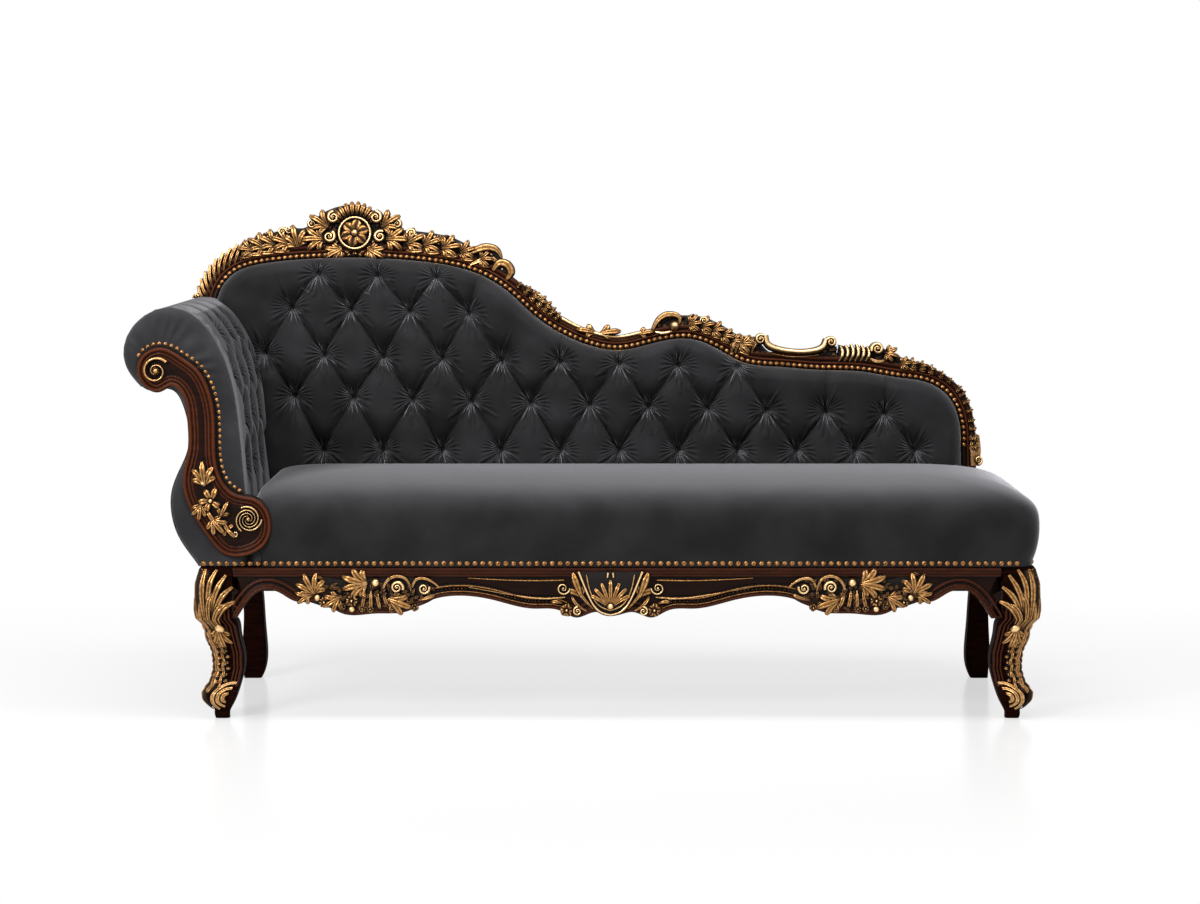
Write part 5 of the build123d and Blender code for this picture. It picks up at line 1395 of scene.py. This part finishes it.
# Each row: height, how far the middle of the section stands out, half width
LEG_SECTIONS = np.array([
    (310, 7, 32), (205, 7, 32), (190, -3, 31.5), (171, -7, 29.5), (131, -17, 26.5), (100, -18, 25.5),
    (75, -12, 26), (54, -1, 31), (37, 1, 27), (17, 0, 16), (0, 0, 14),
], float)[::-1]
CORNER_SHARE = math.sqrt(0.5)
KNEE_ROOT = np.array([6.0, 192.0])
KNEE_LOBES = [
    [(20, 186), (27, 236), (26, 284), (20, 306)],
    [(16, 186), (16, 240), (10, 284), (-2, 305)],
    [(12, 186), (8, 232), (-4, 270), (-20, 294)],
    [(8, 184), (1, 222), (-14, 254), (-33, 270)],
    [(6, 182), (-4, 212), (-20, 232), (-38, 240)],
]
KNEE_UPPER_LOBES = [
    [(12, 180), (16, 216), (13, 246), (2, 262)],
    [(9, 180), (4, 208), (-6, 228), (-22, 236)],
]
CORNER_LOBES = [[(0, 184), (3, 240), (0, 290), (-4, 307)], [(0, 178), (5, 210), (6, 240), (4, 262)]]
LEG_STEM = [(22, 304), (22, 260), (18, 210), (17, 165), (15, 120), (14, 72)]
TOE_CENTRE = np.array([-12.0, 44.0])
TOE_HALF, TOE_FOOT = 30, 18
# Each row: height of a point on a reed, share of the reed's place there
REED_LINE = [(226, 1), (180, 1), (130, 0.86), (96, 0.82), (66, 0.9)]


def on_leg(side, face):
    """Map onto the front, the side or the corner of a leg: out from the middle, up, off the face."""
    foot_x = FRAME_MIDDLE + side * (FRAME_LENGTH / 2 - FOOT_INSET)

    def place(flat):
        across, up, off = flat.T
        out = np.interp(up, LEG_SECTIONS[:, 0], LEG_SECTIONS[:, 1])
        half = np.interp(up, LEG_SECTIONS[:, 0], LEG_SECTIONS[:, 2])
        if face == "front":
            x, y = out + across, out + half + off
        elif face == "side":
            x, y = out + half + off, out + across
        else:
            x = out + half + (off + across) * CORNER_SHARE
            y = out + half + (off - across) * CORNER_SHARE
        return np.stack([foot_x + side * x, FOOT_INSET - y, up], axis=1)
    return place


def leg_carving(side, name, reeds_name, node):
    """Acanthus knee, a trail of husks down the shank, a ribbed toe and dark reeds on two faces."""
    heap = Heap()
    reeds = Heap()
    for face in ("front", "side"):
        mirrored = (side < 0) == (face == "front")
        carving = Carving(on_leg(side, face), 0.5, mirrored, heap)
        for lobe in KNEE_LOBES:
            carving.scroll(lobe, [2.4, 5.2, 7.4, 7.8, 3.6], [6, 10, 14, 13, 3], 0.3, step=4)
        for lobe in KNEE_UPPER_LOBES:
            carving.scroll(lobe, [2.4, 4.6, 6.4, 6.6, 3.2], [9, 14, 18, 17, 7], 0.3, step=4)
        carving.scroll(LEG_STEM, [12, 13, 13, 12, 10, 9], [5, 6, 6, 5, 5, 4], 0, -1.5, 0.62)
        carving.knob(KNEE_ROOT - (0, 8), 12, 14)
        carving.plume(KNEE_ROOT + (4, -6), 266, 46, 30, 5, 11)
        for number, up in enumerate(range(164, 74, -12)):
            carving.plume((17 - 3 * (number % 2), up), 262, 24, 50, 3, 9, 0.5)
        for radius in (9, 19, 29):
            line = TOE_CENTRE + radius * ways(np.radians(np.linspace(104, -76, 20)))
            line = line[(np.abs(line[:, 0]) < TOE_HALF) & (line[:, 1] > TOE_FOOT)]
            carving.blade(line, [3.6, 6.4, 6.4, 3.6], [6, 13, 13, 5], 0.2)
        wood = Carving(on_leg(side, face), 0.2, mirrored, reeds)
        # The reeds' edge value is painted highlight along their crowns
        for place, half in ((-24, 3.2), (-16, 3.0), (-8, 2.8)):
            wood.scroll([(place * share, up) for up, share in REED_LINE], [half], [3.6], bright=0.5)
    corner = Carving(on_leg(side, "corner"), 0.0, side < 0, heap)
    for lobe in CORNER_LOBES:
        corner.scroll(lobe, [4, 8, 11, 10, 4], [9, 12, 14, 13, 8], 0.3, -8, step=4)
    for number, up in enumerate(range(184, 70, -13)):
        corner.curl((4 * (number % 2) - 2, up), 268, 28, 7.5, 20 - 40 * (number % 2), 12, -6)
    heap.build(name, GILT, "gilt_carving", [node])
    reeds.build(reeds_name, WOOD, "dark_wood", [], "edge")


leg_carving(-1, "left_knee_acanthus", "left_leg_reeds", "knee_carving_left")
leg_carving(1, "right_knee_acanthus", "right_leg_reeds", "knee_carving_right")

# Arm facing
FACING_FRONT, FACING_DEPTH = -24.0, 28.0
FACING_BEADS = [(5, 4.6, 7), (13.5, 2.8, 5), (20, 2.0, 3.6)]
FACING_FIELD, FACING_FIELD_START, FACING_FIELD_BLEND = 3.0, 21, 6
# Edge values of the facing's beads and field: painted highlight on the wood
FACING_VALUE, FACING_FIELD_VALUE = 0.66, 0.1
FOOT_SWIRL = (-666, 409)
FACING_FLOWER = (-741, 446)
# Each row: root, direction, length, spread, lobes, height, lift
FACING_PLUMES = [
    ((-753, 476), 96, 48, 36, 5, 11, 0), ((-722, 414), 62, 34, 24, 3, 13, 1),
    ((-760, 440), 262, 34, 40, 5, 11, 0), ((-740, 410), 312, 40, 46, 5, 11, 0),
    ((-712, 392), 318, 30, 40, 3, 10, 0),
]


def facing():
    """Moulded arm facing: a bold outer bead, two finer ones and a dark field."""
    heap = Heap()

    def relief(points, distance):
        height, value = moulding(distance, FACING_BEADS)
        field = FACING_FIELD * unit((distance - FACING_FIELD_START) / FACING_FIELD_BLEND)
        return np.maximum(height, field), np.maximum(value * FACING_VALUE, FACING_FIELD_VALUE)

    outline = smooth_line(FACING_OUTLINE, 2.5, True)
    relief_plate(heap, outline, 2.0, relief, on_front(FACING_FRONT + 6), FACING_DEPTH)
    heap.build("moulded_facing", WOOD, "dark_wood", ["arm_facing"], "edge")


def facing_carving():
    """Plume, flowers and leaves in the hollow of the facing, and swirls in its two scrolls."""
    carving = Carving(on_front(FACING_FRONT + 4), 2.0)
    for turn in (0, 120, 240):
        carving.volute(FOOT_SWIRL, 30, turn, 1.1, 9, -1, 0.1, 0, 0.9)
    carving.knob(FOOT_SWIRL, 6, 9, 1)
    carving.volute(SCROLL_CENTRE, 32, 40, 1.6, 9, 1, 0.13, 0, 0.85)
    carving.rosette(SCROLL_CENTRE, 10, 5, 9, 0, 1, 0.9)
    for plume in FACING_PLUMES:
        carving.plume(*plume)
    for angle, length in ((110, 26), (60, 28), (180, 26), (320, 26), (240, 26)):
        carving.curl(FACING_FLOWER, angle, length, 7.0, 30, 11, 1)
    carving.knob(FACING_FLOWER, 6, 13, 1)
    carving.knob((-756, 482), 7, 10)
    carving.curl((-748, 428), 292, 30, 5.4, 40, 11)
    carving.curl((-716, 408), 285, 34, 5.0, 50, 10)
    carving.rosette((-727, 400), 11, 5, 11, 0, 1)
    carving.volute((-692, 380), 9, 200, 1.3, 9)
    carving.finish("facing_leaves", "arm_facing_carving")


facing()
facing_carving()

# Finishes of the solids that stay in view
SLOT_MATERIALS = {
    "dark_wood": PLAIN_WOOD,
    "gilt_carving": GILT,
    "frame_wood": FRAME_WOOD,
    "velvet": VELVET_BACK,
    "stuffing": HESSIAN,
    "hessian": HESSIAN,
    "dust_cloth": DUST,
    "nail_brass": NAIL,
    "steel": STEEL,
}
POLISHED_FRAME = (
    "left_end_rail", "right_end_rail", "rear_seat_rail", "back_left_post", "arm_rear_frame", "corner_blocks",
)
for subpart in frame["record"]["subparts"]:
    solid = frame["nodes"][subpart["node"]]
    slot = "dark_wood" if subpart["node"] in POLISHED_FRAME else subpart["material_slot"]
    solid.data.materials.clear()
    solid.data.materials.append(SLOT_MATERIALS[slot])

# Floor and background
FLOOR_HALF = 9.0
FLOOR_NEAR, FLOOR_FAR = 0.6, 1.0
FADE_START, FADE_END = 0.5, 1.9
FLOOR_OVAL = (0.62, 1.0, 1.0)
WORLD_LIGHT = 0.32


def seen_directly(tree):
    """Whether a ray is straight from the camera, or by way of gloss or glass."""
    rays = add_node(tree, "LightPath").outputs
    either = math_node(tree, "MAXIMUM", rays["Is Camera Ray"], rays["Is Glossy Ray"])
    return math_node(tree, "MAXIMUM", either, rays["Is Transmission Ray"])


def floor_material():
    """A pale floor that takes a soft shadow near the object and fades to white away from it."""
    material, tree, shader = node_material("floor")
    feed(tree, shader, {"Base Color": (0.9, 0.9, 0.9, 1), "Roughness": 0.2, "Specular IOR Level": 0.4})
    glow = add_node(tree, "Emission", {"Strength": 1.0})
    oval = add_node(tree, "Mapping", {"Scale": FLOOR_OVAL, "Vector": object_place(tree)})
    reach = add_node(tree, "VectorMath", {0: oval.outputs["Vector"]}, operation="LENGTH")
    fade = add_node(tree, "MapRange", interpolation_type="SMOOTHSTEP")
    feed(tree, fade, {
        "Value": reach.outputs["Value"],
        "From Min": FADE_START,
        "From Max": FADE_END,
        "To Min": FLOOR_NEAR,
        "To Max": FLOOR_FAR,
    })
    share = math_node(tree, "MULTIPLY", seen_directly(tree), fade.outputs["Result"])
    shaders = {"Fac": share, 1: shader.outputs["BSDF"], 2: glow.outputs["Emission"]}
    blend = add_node(tree, "MixShader", shaders)
    feed(tree, tree.nodes["Material Output"], {"Surface": blend.outputs["Shader"]})
    return material


floor_mesh = bpy.data.meshes.new("floor")
floor_corners = [(x * FLOOR_HALF, y * FLOOR_HALF, 0) for x, y in ((-1, -1), (1, -1), (1, 1), (-1, 1))]
floor_mesh.from_pydata(floor_corners, [], [(0, 1, 2, 3)])
floor_mesh.materials.append(floor_material())
floor = bpy.data.objects.new("floor", floor_mesh)
scene.collection.objects.link(floor)

world = bpy.data.worlds.new("studio")
scene.world = world
world.use_nodes = True
world_tree = world.node_tree
light_range = {"Value": seen_directly(world_tree), "To Min": WORLD_LIGHT, "To Max": 1.0}
light_level = add_node(world_tree, "MapRange", light_range)
background = {"Color": (1, 1, 1, 1), "Strength": light_level.outputs["Result"]}
feed(world_tree, world_tree.nodes["Background"], background)


# Lamps and camera
def softbox(name, place, target, width, height, power):
    """A large soft lamp aimed at a point."""
    data = bpy.data.lights.new(name, "AREA")
    data.shape = "RECTANGLE"
    data.size = width
    data.size_y = height
    data.energy = power
    lamp = bpy.data.objects.new(name, data)
    scene.collection.objects.link(lamp)
    lamp.location = place
    x, y, z = np.asarray(target, float) - np.asarray(place, float)
    lamp.rotation_euler = (math.atan2(math.hypot(x, y), -z), 0, math.atan2(x, -y) + math.pi)


softbox("overhead", (0.0, -0.7, 2.8), (0, 0, 0.4), 2.6, 1.0, 70)
softbox("key", (-2.4, -3.4, 2.6), (0, 0, 0.5), 1.2, 1.2, 110)

VIEW_PLACE = (36.0, -6700.0, 1090.0)
VIEW_PITCH = 4.68
FOCAL_PIXELS, PHOTO_WIDTH = 3361.0, 1200.0
SENSOR = 36.0
camera_data = bpy.data.cameras.new("camera")
camera_data.sensor_width = SENSOR
camera_data.lens = FOCAL_PIXELS / PHOTO_WIDTH * SENSOR
camera = bpy.data.objects.new("camera", camera_data)
scene.collection.objects.link(camera)
camera.location = put(VIEW_PLACE)
camera.rotation_euler = (math.radians(90 - VIEW_PITCH), 0, 0)
scene.camera = camera
scene.view_settings.view_transform = "Standard"
